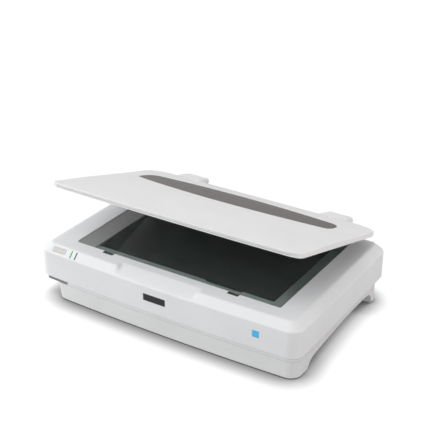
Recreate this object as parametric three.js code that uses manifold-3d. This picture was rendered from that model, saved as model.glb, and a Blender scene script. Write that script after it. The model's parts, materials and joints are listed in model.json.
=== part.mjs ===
// Large-format flatbed scanner with its lid held partly open.
// Millimetres. X runs along the width, Y from the front to the back, Z up.
// Pieces are laid out with y = 0 on the front line of the case and z = 0 on the
// table; the whole model is then moved so that its box is centred over the origin.
import * as THREE from 'three';
import { mergeVertices } from 'three/addons/utils/BufferGeometryUtils.js';
import Module from 'manifold-3d';

const wasm = await Module();
wasm.setup();

// ---- Driving dimensions ----
const CASE_WIDTH = 656;
const CASE_DEPTH = 416;
const FRONT_BOW = 6.8; // how far the middle of the front stands forward of its corners
const SEAM_Z = 49; // joint between the lower shell and the upper case
const DECK_Z = 127.5; // flat top of the case around the glass
const GAP = 0.3; // clearance between neighbouring pieces
const WALL = 3;
const HALF_WIDTH = CASE_WIDTH / 2;
const CORNER_RADIUS = 29; // of the case in plan

const OPENING = { left: -256, right: 260, front: 48.5, back: 385 };
const APERTURE = { left: -212, right: 238, front: 65, back: 375 };
const GLASS = { left: -204.5, top: 125.2, bottom: 121.2 };
const LEDGE_BOTTOM = 118.2;

const HINGE = { y: 440, z: 141.6, x: 195, coverRadius: 11.2 };
const LID_REST_ANGLE = 17.1; // degrees open
const LID = { left: -306, right: 306, front: 14.7, back: 400, underside: 132, crown: 12.5 };
const RIM_FRONT_Z = 143;
const RIM_BACK_Z = 146.5;

const FLOOR_Z = 6; // top of the lower shell's floor
const FLANGE_Z = 52; // top of the lower shell's flange, inside the upper case
const FOOT_HEIGHT = 3;

const CARRIAGE = { left: -310, width: 104, front: 60, back: 388, bottom: 66, top: 116 };
const SHAFT = { y: 396, z: 84, radius: 5, reach: 316.5 };
const BELT = { y: 200, bottom: 56, top: 62, thickness: 1.5 };
const PULLEY_RADIUS = 8;
const IDLER_X = -285;
const DRIVE_X = 245;
const GEAR = { teeth: 40, module: 1, bottom: 44, top: 49 };
const PINION_TEETH = 12;
const MOTOR_X = DRIVE_X - (GEAR.teeth + PINION_TEETH) / 2 - 0.2;

// ---- Materials ----
function finish(color, roughness, metalness = 0) {
  return new THREE.MeshStandardMaterial({ color, roughness, metalness });
}
const material = {
  caseWhite: finish(0xe4e5e7, 0.5),
  baseWhite: finish(0xdadada, 0.55),
  lidWhite: finish(0xe8e8e8, 0.5),
  taupe: finish(0x756f6c, 0.45),
  glass: finish(0x242a28, 0.05),
  greyStrip: finish(0x818181, 0.55),
  darkPlastic: finish(0x46443e, 0.5),
  badge: finish(0x28262d, 0.35),
  blue: finish(0x3cb4eb, 0.5),
  green: finish(0x3cbe5a, 0.3),
  smoke: finish(0x6e7074, 0.4),
  beige: finish(0xd8d5cd, 0.5),
  blackPlastic: finish(0x1b1c1d, 0.5),
  rubber: finish(0x2c2c2c, 0.9),
  steel: finish(0xb9bcc0, 0.3, 1),
  zinc: finish(0x9a9ea3, 0.45, 1),
  bronze: finish(0xa97b42, 0.4, 1),
  mirror: finish(0xe6ecef, 0.05, 1),
  board: finish(0x1e5b36, 0.6),
  foam: finish(0xf2f2f0, 0.8),
  whiteStrip: finish(0xfafafa, 0.8),
  lamp: finish(0xf4f6f2, 0.3),
};

// ---- Shape helpers ----
function box(x0, x1, y0, y1, z0, z1) {
  const geometry = new THREE.BoxGeometry(x1 - x0, y1 - y0, z1 - z0);
  return geometry.translate((x0 + x1) / 2, (y0 + y1) / 2, (z0 + z1) / 2);
}

// A box lying on an outline's rectangle, grown by margin on all four sides.
function slab(area, margin, z0, z1) {
  return box(area.left - margin, area.right + margin, area.front - margin, area.back + margin, z0, z1);
}

function prism(shape, z0, z1, curveSegments = 8) {
  const settings = { depth: z1 - z0, bevelEnabled: false, curveSegments };
  return new THREE.ExtrudeGeometry(shape, settings).translate(0, 0, z0);
}

// A prism along X whose shape is drawn in (y, z).
function prismAlongX(shape, x0, x1, curveSegments = 8) {
  const turn = new THREE.Matrix4().set(0, 0, 1, 0, 1, 0, 0, 0, 0, 1, 0, 0, 0, 0, 0, 1);
  return prism(shape, x0, x1, curveSegments).applyMatrix4(turn);
}

function polygon(points) {
  return new THREE.Shape(points.map(([x, y]) => new THREE.Vector2(x, y)));
}

function roundedRect(left, right, front, back, r) {
  const shape = new THREE.Shape();
  shape.absarc(left + r, front + r, r, Math.PI, 1.5 * Math.PI);
  shape.absarc(right - r, front + r, r, 1.5 * Math.PI, 2 * Math.PI);
  shape.absarc(right - r, back - r, r, 0, 0.5 * Math.PI);
  shape.absarc(left + r, back - r, r, 0.5 * Math.PI, Math.PI);
  return shape;
}

function rodAlongX(radius, x0, x1, y, z, segments = 16) {
  const rod = new THREE.CylinderGeometry(radius, radius, x1 - x0, segments).rotateZ(Math.PI / 2);
  return rod.translate((x0 + x1) / 2, y, z);
}

function rodAlongZ(radius, z0, z1, x, y, segments = 16) {
  const rod = new THREE.CylinderGeometry(radius, radius, z1 - z0, segments).rotateX(Math.PI / 2);
  return rod.translate(x, y, (z0 + z1) / 2);
}

function toSolid(geometry) {
  const bare = geometry.clone();
  bare.deleteAttribute('normal');
  bare.deleteAttribute('uv');
  const merged = mergeVertices(bare, 1e-4);
  const vertProperties = new Float32Array(merged.attributes.position.array);
  const triVerts = new Uint32Array(merged.index.array);
  return new wasm.Manifold(new wasm.Mesh({ numProp: 3, vertProperties, triVerts }));
}

function toGeometry(solid) {
  const { vertProperties, triVerts } = solid.getMesh();
  const geometry = new THREE.BufferGeometry();
  geometry.setAttribute('position', new THREE.BufferAttribute(vertProperties, 3));
  geometry.setIndex(new THREE.BufferAttribute(triVerts, 1));
  return geometry;
}

function combine(operation, first, others) {
  let solid = toSolid(first);
  for (const other of others) {
    solid = solid[operation](toSolid(other));
  }
  return toGeometry(solid);
}
const cut = (first, ...others) => combine('subtract', first, others);
const join = (first, ...others) => combine('add', first, others);
const common = (first, ...others) => combine('intersect', first, others);

// ---- Rounded outlines and lofted shells ----
const CORNER_STEPS = 5;
const FRONT_STEPS = 8;
const BOW_HALF = HALF_WIDTH - CORNER_RADIUS; // half the width over which the front is bowed

// Points of a rounded rectangle with a bowed front, counter-clockwise from the left side.
// radii are those of the front left, front right, back right and back left corners.
function outline({ left, right, front, back, radii, bow = FRONT_BOW }, insetX = 0, insetY = insetX) {
  const x = [left + insetX, right - insetX];
  const y = [front + insetY, back - insetY];
  const corners = [
    [x[0], y[0], 1, 1],
    [x[1], y[0], -1, 1],
    [x[1], y[1], -1, -1],
    [x[0], y[1], 1, -1],
  ];
  const points = [];
  corners.forEach(([cornerX, cornerY, towardX, towardY], corner) => {
    const radius = Math.max(radii[corner] - Math.min(insetX, insetY), 1);
    const centre = [cornerX + towardX * radius, cornerY + towardY * radius];
    for (let step = 0; step <= CORNER_STEPS; step += 1) {
      const angle = Math.PI + ((corner + step / CORNER_STEPS) * Math.PI) / 2;
      points.push(new THREE.Vector2(
        centre[0] + radius * Math.cos(angle), centre[1] + radius * Math.sin(angle)));
    }
    if (corner === 0) {
      const start = points[points.length - 1].x;
      const end = x[1] - Math.max(radii[1] - Math.min(insetX, insetY), 1);
      for (let step = 1; step < FRONT_STEPS; step += 1) {
        points.push(new THREE.Vector2(start + ((end - start) * step) / FRONT_STEPS, y[0]));
      }
    }
  });
  const middle = (y[0] + y[1]) / 2;
  for (const point of points) {
    if (point.y < middle) {
      point.y -= bow * Math.max(0, 1 - (point.x / BOW_HALF) ** 2);
    }
  }
  return points;
}

// A closed skin through rings of equal point count, capped at both ends.
function loft(rings) {
  const count = rings[0].length;
  const positions = rings.flat().flatMap((p) => [p.x, p.y, p.z]);
  const cap = THREE.ShapeUtils.triangulateShape(rings[0].map((p) => new THREE.Vector2(p.x, p.y)), []);
  const indices = [];
  for (const [a, b, c] of cap) {
    indices.push(a, c, b);
  }
  for (let ring = 0; ring < rings.length - 1; ring += 1) {
    for (let i = 0; i < count; i += 1) {
      const next = (i + 1) % count;
      const low = ring * count;
      const high = low + count;
      indices.push(low + i, low + next, high + next);
      indices.push(low + i, high + next, high + i);
    }
  }
  const top = (rings.length - 1) * count;
  for (const [a, b, c] of cap) {
    indices.push(top + a, top + b, top + c);
  }
  const geometry = new THREE.BufferGeometry();
  geometry.setAttribute('position', new THREE.Float32BufferAttribute(positions, 3));
  geometry.setIndex(indices);
  return geometry;
}

function level(points, z) {
  return points.map((p) => new THREE.Vector3(p.x, p.y, z));
}

// ---- Scene graph ----
const model = new THREE.Group();
const fixed = new THREE.Group();
const carriage = new THREE.Group();
const lid = new THREE.Group();
model.add(fixed, carriage, lid);

function piece(group, name, geometry, finishOf) {
  const mesh = new THREE.Mesh(geometry, finishOf);
  mesh.name = name;
  group.add(mesh);
  return mesh;
}

// ---- Outer casing ----
const CASE = {
  left: -HALF_WIDTH, right: HALF_WIDTH, front: 0, back: CASE_DEPTH, radii: Array(4).fill(CORNER_RADIUS),
};
const BASE_SEAM = { left: -286, right: HALF_WIDTH, front: 0, back: 374, radii: [20, CORNER_RADIUS, 22, 22] };
const BASE_FLOOR = { left: -280, right: 325, front: 1, back: 385, radii: [20, 27, 22, 22] };

// Section of the case wall: how far it stands in from the outline at each height.
// The sides slope in further than the front, so the two insets differ.
const EDGE_PROFILE = [
  { z: SEAM_Z, side: 0.6, front: 0.6 },
  { z: SEAM_Z + 3, side: 0, front: 0 },
  { z: 109, side: 0, front: 0 },
  { z: 113, side: 2.6, front: 2 },
  { z: 123, side: 15, front: 12 },
  { z: 126.2, side: 19.5, front: 15.8 },
  { z: DECK_Z, side: 24, front: 19.5 },
];

// The side wall above the arch: front foot, underside and rear foot, in (y, z).
const ARCH_LINE = [
  [48, 0], [53, 9], [60, 19], [74, 25.5], [100, 28.5], [150, 33], [215, 37.5],
  [285, 38], [325, 35], [341, 26], [348, 12], [351, 0],
];
const ARCH_X = 273;

function archPrism(spread, lift, fromX) {
  const line = ARCH_LINE.map(([y, z]) => new THREE.Vector2(y + (y < 200 ? -spread : spread), z + lift));
  const bottom = -10;
  const shape = new THREE.Shape();
  shape.moveTo(line[0].x, bottom);
  shape.lineTo(line[0].x, line[0].y);
  shape.splineThru(line.slice(1));
  shape.lineTo(line[line.length - 1].x, bottom);
  return prismAlongX(shape, fromX, HALF_WIDTH + 20, 2);
}

const RAIL = { y0: 66, y1: 82, bottom: 57.7, top: 61 };
const POST_SPOTS = [[-245, 74], [255, 74]];
const MAIN_BOARD = { left: 60, right: 190, front: 235, back: 345 };
const POWER_BOARD = { left: -260, right: -120, front: 230, back: 350 };
const BOARD_Z = 12;
const TRANSPORT_LOCK = { y: 250, z: 28, radius: 11 };
const SWITCH = { left: -306, right: -248, bottom: 42, top: 48.7, depth: 8, travel: 1.5 };

function baseOuter() {
  return loft([
    level(outline(BASE_FLOOR, 4), FOOT_HEIGHT),
    level(outline(BASE_FLOOR, 1.2), FOOT_HEIGHT + 2.5),
    level(outline(BASE_FLOOR), FOOT_HEIGHT + 6),
    level(outline(BASE_SEAM), SEAM_Z),
  ]);
}

function boardCorners({ left, right, front, back }) {
  const margin = 8;
  return [left + margin, right - margin].flatMap((x) => [[x, front + margin], [x, back - margin]]);
}

function lowerShell() {
  const flange = loft([
    level(outline(CASE, WALL + GAP), SEAM_Z),
    level(outline(CASE, WALL + GAP), FLANGE_Z),
  ]);
  const roomInside = loft([
    level(outline(BASE_FLOOR, WALL), FLOOR_Z),
    level(outline(BASE_SEAM, WALL), FLANGE_Z + 1),
  ]);
  const cavity = cut(roomInside, archPrism(WALL, WALL, ARCH_X - WALL));
  const standoffs = [...boardCorners(MAIN_BOARD), ...boardCorners(POWER_BOARD)];
  return join(
    cut(
      join(baseOuter(), flange),
      cavity,
      archPrism(0, 0, ARCH_X),
      box(SWITCH.left, SWITCH.right + GAP, -10, SWITCH.depth + SWITCH.travel + GAP,
        SWITCH.bottom - GAP, SEAM_Z),
      rodAlongX(TRANSPORT_LOCK.radius + GAP, -300, -270, TRANSPORT_LOCK.y, TRANSPORT_LOCK.z, 24),
    ),
    ...POST_SPOTS.map(([x, y]) => rodAlongZ(6, FLOOR_Z - 1, RAIL.bottom, x, y, 12)),
    ...standoffs.map(([x, y]) => rodAlongZ(3.5, FLOOR_Z - 1, BOARD_Z - GAP, x, y, 8)),
  );
}

// The slope across which the start button and the two lamps lie.
const SLOPE = { y: 8.2, z: 118.8, angle: Math.PI / 4 };
const START_BUTTON = { x: -272.5, width: 37, height: 11, thickness: 6, proud: 0.8 };
const LIGHTS = { xs: [-238, -225], width: 2.6, height: 17, thickness: 4, proud: 0.3 };

// A block that lies on the front slope; its outer face stands proud of the slope.
function slopeBlock(x, width, height, thickness, proud, margin = 0) {
  const block = new THREE.BoxGeometry(width + 2 * margin, height + 2 * margin, thickness);
  return block.translate(0, 0, proud - thickness / 2).rotateX(SLOPE.angle)
    .translate(x, SLOPE.y - bowAt(x), SLOPE.z);
}

function bowAt(x) {
  return FRONT_BOW * Math.max(0, 1 - (x / BOW_HALF) ** 2);
}

// Housings at the back of the case in which the hinge posts slide.
const SOCKET = { halfWidth: 38, front: CASE_DEPTH - WALL - 2, back: 449, bottom: 54, slotBottom: 60 };
const SLOT = { halfWidth: 22.5, halfDepth: 6.5 };
const CATCHES = [
  { name: 'mat_catch_left', left: -177, right: -151 },
  { name: 'mat_catch_right', left: 140.5, right: 166.5 },
];
const CATCH = { front: 38.5, back: 48.6, bottom: 120 };
const GRIP = { left: -116, right: 94, back: 27, lipY: -5, lipZ: 113 };
const BADGE = { left: -37, right: 18, bottom: 77, top: 93, thickness: 1.6 };
const LABEL = { left: 226, right: 241, bottom: 77, top: 92, thickness: 1 };
const PORTS = {
  power_inlet: { left: -34, right: -6, bottom: 52.6, top: 71.4 },
  usb_port: { left: 40, right: 53, bottom: 53.6, top: 66 },
  option_port: { left: 78, right: 118, bottom: 53.6, top: 66 },
};
const PORT_INNER_Y = 392;

function caseOuter() {
  return loft(EDGE_PROFILE.map(({ z, side, front }) => level(outline(CASE, side, front), z)));
}

// The wall plate behind a recess in the front, from the outline to a depth.
function frontPatch({ left, right, bottom, top, thickness }, standOff, margin = 0) {
  const skin = (offset) => loft([
    level(outline(CASE, 0, offset), bottom - margin),
    level(outline(CASE, 0, offset), top + margin),
  ]);
  const band = box(left - margin, right + margin, -20, 10, bottom - margin, top + margin);
  return cut(common(skin(standOff), band), skin(thickness));
}

function gripRecess() {
  const slope = (DECK_Z - GRIP.lipZ) / (GRIP.back - GRIP.lipY);
  const beyond = GRIP.lipY - 10;
  const shape = polygon([
    [beyond, DECK_Z + 1],
    [beyond, GRIP.lipZ - 10 * slope],
    [GRIP.back, DECK_Z],
    [GRIP.back, DECK_Z + 1],
  ]);
  return prismAlongX(shape, GRIP.left, GRIP.right);
}

// A socket housing, hollowed from below on both sides of its slot.
function hingeSocket(x) {
  const { halfWidth, front, back, bottom } = SOCKET;
  const housing = prism(roundedRect(x - halfWidth, x + halfWidth, front, back, 2), bottom, DECK_Z, 2);
  const hollows = [-1, 1].map((side) => {
    const edges = [x + side * (SLOT.halfWidth + WALL), x + side * (halfWidth - WALL)];
    return box(Math.min(...edges), Math.max(...edges), CASE_DEPTH + WALL, back - WALL, bottom - 1,
      DECK_Z - WALL);
  });
  return cut(housing, ...hollows);
}

function upperCase() {
  const cavity = loft([
    level(outline(CASE, WALL), SEAM_Z - 1),
    level(outline(CASE, WALL), 109),
    level(outline(CASE, 21, 20), DECK_Z - WALL),
  ]);
  const ledge = box(OPENING.left - 6, OPENING.right + 6, OPENING.front - 12, OPENING.back + 6,
    LEDGE_BOTTOM, DECK_Z);
  const gripBacking = box(GRIP.left - WALL, GRIP.right + WALL, -10, GRIP.back + WALL, 108, DECK_Z);
  const room = cut(cavity, ledge, gripBacking);
  const sockets = [-HINGE.x, HINGE.x].map(hingeSocket);
  const slots = [-HINGE.x, HINGE.x].map((x) => box(x - SLOT.halfWidth, x + SLOT.halfWidth,
    HINGE.y - SLOT.halfDepth, HINGE.y + SLOT.halfDepth, SOCKET.slotBottom, DECK_Z + 1));
  const lampCuts = LIGHTS.xs.map((x) =>
    slopeBlock(x, LIGHTS.width, LIGHTS.height, LIGHTS.thickness + 8, 2, GAP));
  const portCuts = Object.values(PORTS).map(({ left, right, bottom, top }) =>
    box(left - GAP, right + GAP, 405, CASE_DEPTH + 2, bottom - GAP, top + GAP));
  return cut(
    join(cut(caseOuter(), room), ...sockets),
    ...slots,
    slab(OPENING, 0, GLASS.bottom, DECK_Z + 1),
    slab(APERTURE, 0, LEDGE_BOTTOM - 1, DECK_Z),
    ...CATCHES.map(({ left, right }) =>
      box(left - GAP, right + GAP, CATCH.front - GAP, CATCH.back + 5, CATCH.bottom, DECK_Z + 1)),
    gripRecess(),
    slopeBlock(START_BUTTON.x, START_BUTTON.width, START_BUTTON.height, 16, 4, GAP),
    ...lampCuts,
    frontPatch({ ...BADGE, thickness: BADGE.thickness + GAP }, -1, GAP),
    frontPatch({ ...LABEL, thickness: LABEL.thickness + GAP }, -1, GAP),
    ...portCuts,
  );
}

piece(fixed, 'lower_shell', lowerShell(), material.baseWhite);
piece(fixed, 'upper_case', upperCase(), material.caseWhite);
piece(fixed, 'badge_plate', frontPatch(BADGE, -0.2), material.badge);
piece(fixed, 'blue_label', frontPatch(LABEL, -0.1), material.blue);

// ---- Glass and the strip beside it ----
piece(fixed, 'platen_glass', box(GLASS.left, OPENING.right - GAP, OPENING.front + GAP,
  OPENING.back - GAP, GLASS.bottom, GLASS.top), material.glass);
piece(fixed, 'border_strip', box(OPENING.left + GAP, GLASS.left - 3, OPENING.front + GAP,
  OPENING.back - GAP, GLASS.bottom, GLASS.top + 0.3), material.greyStrip);
piece(fixed, 'calibration_strip', box(-250, -216, 66, 374, LEDGE_BOTTOM - 0.8, LEDGE_BOTTOM),
  material.whiteStrip);

for (const { name, left, right } of CATCHES) {
  const block = box(left, right, CATCH.front, CATCH.back - GAP, CATCH.bottom, DECK_Z - 0.5);
  const pocket = box(left + 3, right - 3, CATCH.front + 2.5, CATCH.back + 1, CATCH.bottom + 2, DECK_Z);
  piece(fixed, name, cut(block, pocket), material.darkPlastic);
}

// ---- Buttons, lamps and the lock ----
piece(fixed, 'start_button', slopeBlock(START_BUTTON.x, START_BUTTON.width, START_BUTTON.height,
  START_BUTTON.thickness, START_BUTTON.proud), material.beige);
['ready_light', 'error_light'].forEach((name, i) => {
  const lens = slopeBlock(LIGHTS.xs[i], LIGHTS.width, LIGHTS.height, LIGHTS.thickness, LIGHTS.proud);
  piece(fixed, name, lens, i === 0 ? material.green : material.smoke);
});
// The power key follows the line of the case above it and wraps round its corner.
const keyForm = loft([SWITCH.bottom, SWITCH.top].map((z) => level(outline(CASE, 1.2), z)));
piece(fixed, 'power_switch', common(keyForm, box(SWITCH.left, SWITCH.right, -10, SWITCH.depth,
  SWITCH.bottom, SWITCH.top)), material.smoke);

function transportLock() {
  const { y, z, radius } = TRANSPORT_LOCK;
  const slot = box(-290, -283.5, y - 1.2, y + 1.2, z - 8, z + 8);
  return cut(rodAlongX(radius, -286, -276, y, z, 24), slot);
}
piece(fixed, 'transport_lock', transportLock(), material.smoke);

// ---- Feet ----
const FEET = {
  foot_front_left: [-252, 28],
  foot_front_right: [296, 26],
  foot_rear_left: [-252, 362],
  foot_rear_right: [302, 367],
};
for (const [name, [x, y]] of Object.entries(FEET)) {
  piece(fixed, name, rodAlongZ(9, 0, FOOT_HEIGHT, x, y, 20), material.rubber);
}

// ---- Guide shaft and front rail ----
const BUSH_RADIUS = 7;
piece(fixed, 'guide_shaft', rodAlongX(SHAFT.radius, -SHAFT.reach, SHAFT.reach, SHAFT.y, SHAFT.z, 20),
  material.steel);
for (const [name, side] of [['shaft_holder_left', -1], ['shaft_holder_right', 1]]) {
  const holder = polygon([
    [SHAFT.y - 7, FLANGE_Z], [SHAFT.y + 7, FLANGE_Z],
    [SHAFT.y + 7, SHAFT.z + 9], [SHAFT.y - 7, SHAFT.z + 9],
  ]);
  const x = [side * 311, side * (SHAFT.reach + 0.5)].sort((a, b) => a - b);
  const block = prismAlongX(holder, x[0], x[1]);
  const bore = rodAlongX(SHAFT.radius + GAP, -400, 400, SHAFT.y, SHAFT.z, 20);
  piece(fixed, name, cut(block, bore), material.zinc);
}
const railProfile = polygon([
  [RAIL.y0, RAIL.top], [RAIL.y0, RAIL.bottom - 5], [RAIL.y0 + 1.2, RAIL.bottom - 5],
  [RAIL.y0 + 1.2, RAIL.bottom], [RAIL.y1 - 1.2, RAIL.bottom], [RAIL.y1 - 1.2, RAIL.bottom - 5],
  [RAIL.y1, RAIL.bottom - 5], [RAIL.y1, RAIL.top],
]);
piece(fixed, 'front_rail', prismAlongX(railProfile, -314, 314), material.steel);

// ---- Belt drive ----
function beltLoop(radius) {
  const shape = new THREE.Shape();
  shape.absarc(IDLER_X, BELT.y, radius, 0.5 * Math.PI, 1.5 * Math.PI);
  shape.absarc(DRIVE_X, BELT.y, radius, -0.5 * Math.PI, 0.5 * Math.PI);
  return shape;
}
const beltInner = PULLEY_RADIUS + GAP;
const beltOuter = beltInner + BELT.thickness;
const beltShape = beltLoop(beltOuter);
beltShape.holes.push(beltLoop(beltInner));
piece(fixed, 'timing_belt', prism(beltShape, BELT.bottom, BELT.top, 12), material.rubber);

const FLANGE_RADIUS = 11;
const PIN_RADIUS = 2.6;
const BORE_RADIUS = 3;
const PULLEY = { bottom: BELT.bottom - GAP - 1.5, top: BELT.top + GAP + 1.3 };
const AXLE_TOP = PULLEY.top + 0.8;
function wheel(profile) {
  const points = profile.map(([r, z]) => new THREE.Vector2(r, z)).reverse();
  return new THREE.LatheGeometry([...points, points[0]], 24).rotateX(Math.PI / 2);
}
const pulleyProfile = [
  [BORE_RADIUS, PULLEY.top], [FLANGE_RADIUS, PULLEY.top], [FLANGE_RADIUS, BELT.top + GAP],
  [PULLEY_RADIUS, BELT.top + GAP], [PULLEY_RADIUS, BELT.bottom - GAP],
  [FLANGE_RADIUS, BELT.bottom - GAP], [FLANGE_RADIUS, PULLEY.bottom],
];

function gearShape(teeth, module) {
  const pitch = (teeth * module) / 2;
  const stations = [[-0.33, -1.2], [-0.13, 0.75], [0.13, 0.75], [0.33, -1.2]];
  const shape = new THREE.Shape();
  for (let tooth = 0; tooth < teeth; tooth += 1) {
    for (const [turn, height] of stations) {
      const angle = ((tooth + turn) * 2 * Math.PI) / teeth;
      const radius = pitch + height * module;
      const method = tooth === 0 && turn === stations[0][0] ? 'moveTo' : 'lineTo';
      shape[method](radius * Math.cos(angle), radius * Math.sin(angle));
    }
  }
  const bore = new THREE.Path();
  bore.absarc(0, 0, BORE_RADIUS, 0, 2 * Math.PI, true);
  shape.holes.push(bore);
  return shape;
}

const driveHub = wheel([...pulleyProfile, [PULLEY_RADIUS, PULLEY.bottom],
  [PULLEY_RADIUS, GEAR.top - 1], [BORE_RADIUS, GEAR.top - 1]]);
const gearDisc = prism(gearShape(GEAR.teeth, GEAR.module), GEAR.bottom, GEAR.top, 6);
const idler = wheel([...pulleyProfile, [BORE_RADIUS, PULLEY.bottom]]);
const pinion = prism(gearShape(PINION_TEETH, GEAR.module), GEAR.bottom, GEAR.top, 6)
  .rotateZ(Math.PI / PINION_TEETH);
piece(fixed, 'drive_gear', join(driveHub, gearDisc).translate(DRIVE_X, BELT.y, 0), material.foam);
piece(fixed, 'idler_pulley', idler.translate(IDLER_X, BELT.y, 0), material.foam);
piece(fixed, 'motor_pinion', pinion.translate(MOTOR_X, BELT.y, 0), material.bronze);

const BRACKET = { left: 192, right: 262, front: 175, back: 225, top: 42.4, thickness: 1.6 };
function motorBracket() {
  const { left, right, front, back, top, thickness } = BRACKET;
  const plate = box(left, right, front, back, top - thickness, top);
  const legs = [box(left, left + thickness, front, back, FLOOR_Z, top),
    box(right - thickness, right, front, back, FLOOR_Z, top)];
  return cut(join(plate, ...legs), rodAlongZ(BORE_RADIUS, 30, 50, MOTOR_X, BELT.y));
}
piece(fixed, 'motor_bracket', motorBracket(), material.zinc);
piece(fixed, 'gear_axle', rodAlongZ(PIN_RADIUS, BRACKET.top, AXLE_TOP, DRIVE_X, BELT.y, 12), material.steel);
const MOTOR_HALF = 21;
piece(fixed, 'stepper_motor', join(
  prism(roundedRect(MOTOR_X - MOTOR_HALF, MOTOR_X + MOTOR_HALF, BELT.y - MOTOR_HALF,
    BELT.y + MOTOR_HALF, 5), 8, BRACKET.top - BRACKET.thickness - GAP, 2),
  rodAlongZ(PIN_RADIUS, 30, GEAR.top - 0.5, MOTOR_X, BELT.y, 12),
), material.zinc);
piece(fixed, 'idler_bracket', join(
  box(-320, -268, BELT.y - 13, BELT.y + 13, FLANGE_Z, FLANGE_Z + 1.6),
  rodAlongZ(PIN_RADIUS, FLANGE_Z, AXLE_TOP, IDLER_X, BELT.y, 12),
), material.zinc);

// ---- Electronics ----
function circuitBoard({ left, right, front, back }, parts) {
  const plate = box(left, right, front, back, BOARD_Z, BOARD_Z + 1.6);
  return join(plate, ...parts.map(([x, y, width, depth, height]) =>
    box(left + x, left + x + width, front + y, front + y + depth, BOARD_Z + 1, BOARD_Z + 1.6 + height)));
}
piece(fixed, 'main_board', circuitBoard(MAIN_BOARD, [
  [45, 40, 32, 32, 2.5], [90, 20, 18, 12, 2], [90, 45, 18, 12, 2], [20, 80, 50, 8, 8], [12, 20, 14, 14, 9],
]), material.board);
piece(fixed, 'power_supply_board', circuitBoard(POWER_BOARD, [
  [45, 40, 40, 34, 26], [15, 25, 18, 18, 22], [105, 20, 6, 70, 24], [15, 75, 22, 22, 14],
]), material.board);

function port({ left, right, bottom, top }, pocketDepth, tongue) {
  const rim = 1.6;
  const back = CASE_DEPTH + 0.4;
  const body = box(left, right, PORT_INNER_Y, back, bottom, top);
  const pocket = box(left + rim, right - rim, back - pocketDepth, back + 1, bottom + rim, top - rim);
  const middle = (bottom + top) / 2;
  const tongues = tongue.map(([x, width, height]) => box(left + x - width / 2, left + x + width / 2,
    back - pocketDepth - 1, back - 2, middle - height / 2, middle + height / 2));
  return join(cut(body, pocket), ...tongues);
}
piece(fixed, 'power_inlet', port(PORTS.power_inlet, 15, [[7, 2, 5], [14, 2, 5], [21, 2, 5]]),
  material.blackPlastic);
piece(fixed, 'usb_port', port(PORTS.usb_port, 11, [[6.5, 6, 3]]), material.steel);
piece(fixed, 'option_port', port(PORTS.option_port, 8, [[20, 30, 3.4]]), material.steel);

// ---- Scanning carriage, at home on the left ----
const carriageRight = CARRIAGE.left + CARRIAGE.width;
const carriageMiddle = CARRIAGE.left + CARRIAGE.width / 2;
const TRAY_WALL = 2.5;
const MIRROR_SPAN = { front: CARRIAGE.front + TRAY_WALL + GAP, back: CARRIAGE.back - TRAY_WALL - GAP };

function carriageHousing() {
  const tray = box(CARRIAGE.left, carriageRight, CARRIAGE.front, CARRIAGE.back, CARRIAGE.bottom,
    CARRIAGE.top);
  const hollow = box(CARRIAGE.left + TRAY_WALL, carriageRight - TRAY_WALL, CARRIAGE.front + TRAY_WALL,
    CARRIAGE.back - TRAY_WALL, CARRIAGE.bottom + TRAY_WALL, CARRIAGE.top + 1);
  const lugs = [CARRIAGE.left, carriageRight - 20].map((x) =>
    box(x, x + 20, CARRIAGE.back - 1, SHAFT.y + 9.5, SHAFT.z - 9.5, SHAFT.z + 9.5));
  const bore = rodAlongX(BUSH_RADIUS, -400, 400, SHAFT.y, SHAFT.z, 20);
  const slotFloor = box(carriageMiddle - 30, carriageMiddle + 30, 150, 300, CARRIAGE.bottom - 1,
    CARRIAGE.bottom + TRAY_WALL - 1.2);
  return cut(join(cut(tray, hollow), ...lugs), bore, slotFloor);
}
piece(carriage, 'carriage_housing', carriageHousing(), material.blackPlastic);

for (const [name, x] of [['shaft_bush_left', CARRIAGE.left], ['shaft_bush_right', carriageRight - 20]]) {
  const ring = rodAlongX(BUSH_RADIUS - GAP, x, x + 20, SHAFT.y, SHAFT.z, 20);
  const bore = rodAlongX(SHAFT.radius + GAP, x - 1, x + 21, SHAFT.y, SHAFT.z, 20);
  piece(carriage, name, cut(ring, bore), material.bronze);
}
piece(carriage, 'front_glide', box(carriageMiddle - 30, carriageMiddle + 30, RAIL.y0 + 2, RAIL.y1 - 2,
  RAIL.top + GAP, CARRIAGE.bottom - 0.05), material.foam);
piece(carriage, 'light_bar', box(carriageMiddle - 3, carriageMiddle + 11, MIRROR_SPAN.front,
  MIRROR_SPAN.back, 104, 112), material.lamp);

// Mirror strips fold the light path down, back and forward into the lens.
const MIRRORS = {
  first_mirror: { x: carriageMiddle + 27, z: 84, tilt: -45 },
  second_mirror: { x: carriageMiddle - 42, z: 92, tilt: 60 },
  third_mirror: { x: carriageMiddle + 38, z: 104, tilt: -62 },
};
for (const [name, { x, z, tilt }] of Object.entries(MIRRORS)) {
  const length = MIRROR_SPAN.back - MIRROR_SPAN.front;
  const strip = piece(carriage, name, new THREE.BoxGeometry(14, length, 3), material.mirror);
  strip.position.set(x, (MIRROR_SPAN.front + MIRROR_SPAN.back) / 2, z);
  strip.rotation.y = THREE.MathUtils.degToRad(tilt);
}
const LENS_Z = 83;
const LENS_Y = (CARRIAGE.front + CARRIAGE.back) / 2;
piece(carriage, 'scan_lens', join(
  rodAlongX(11, carriageMiddle - 22, carriageMiddle - 4, LENS_Y, LENS_Z, 20),
  rodAlongX(8, carriageMiddle - 6, carriageMiddle + 4, LENS_Y, LENS_Z, 20),
  box(carriageMiddle - 18, carriageMiddle - 8, LENS_Y - 10, LENS_Y + 10,
    CARRIAGE.bottom + TRAY_WALL, LENS_Z),
), material.blackPlastic);
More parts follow.
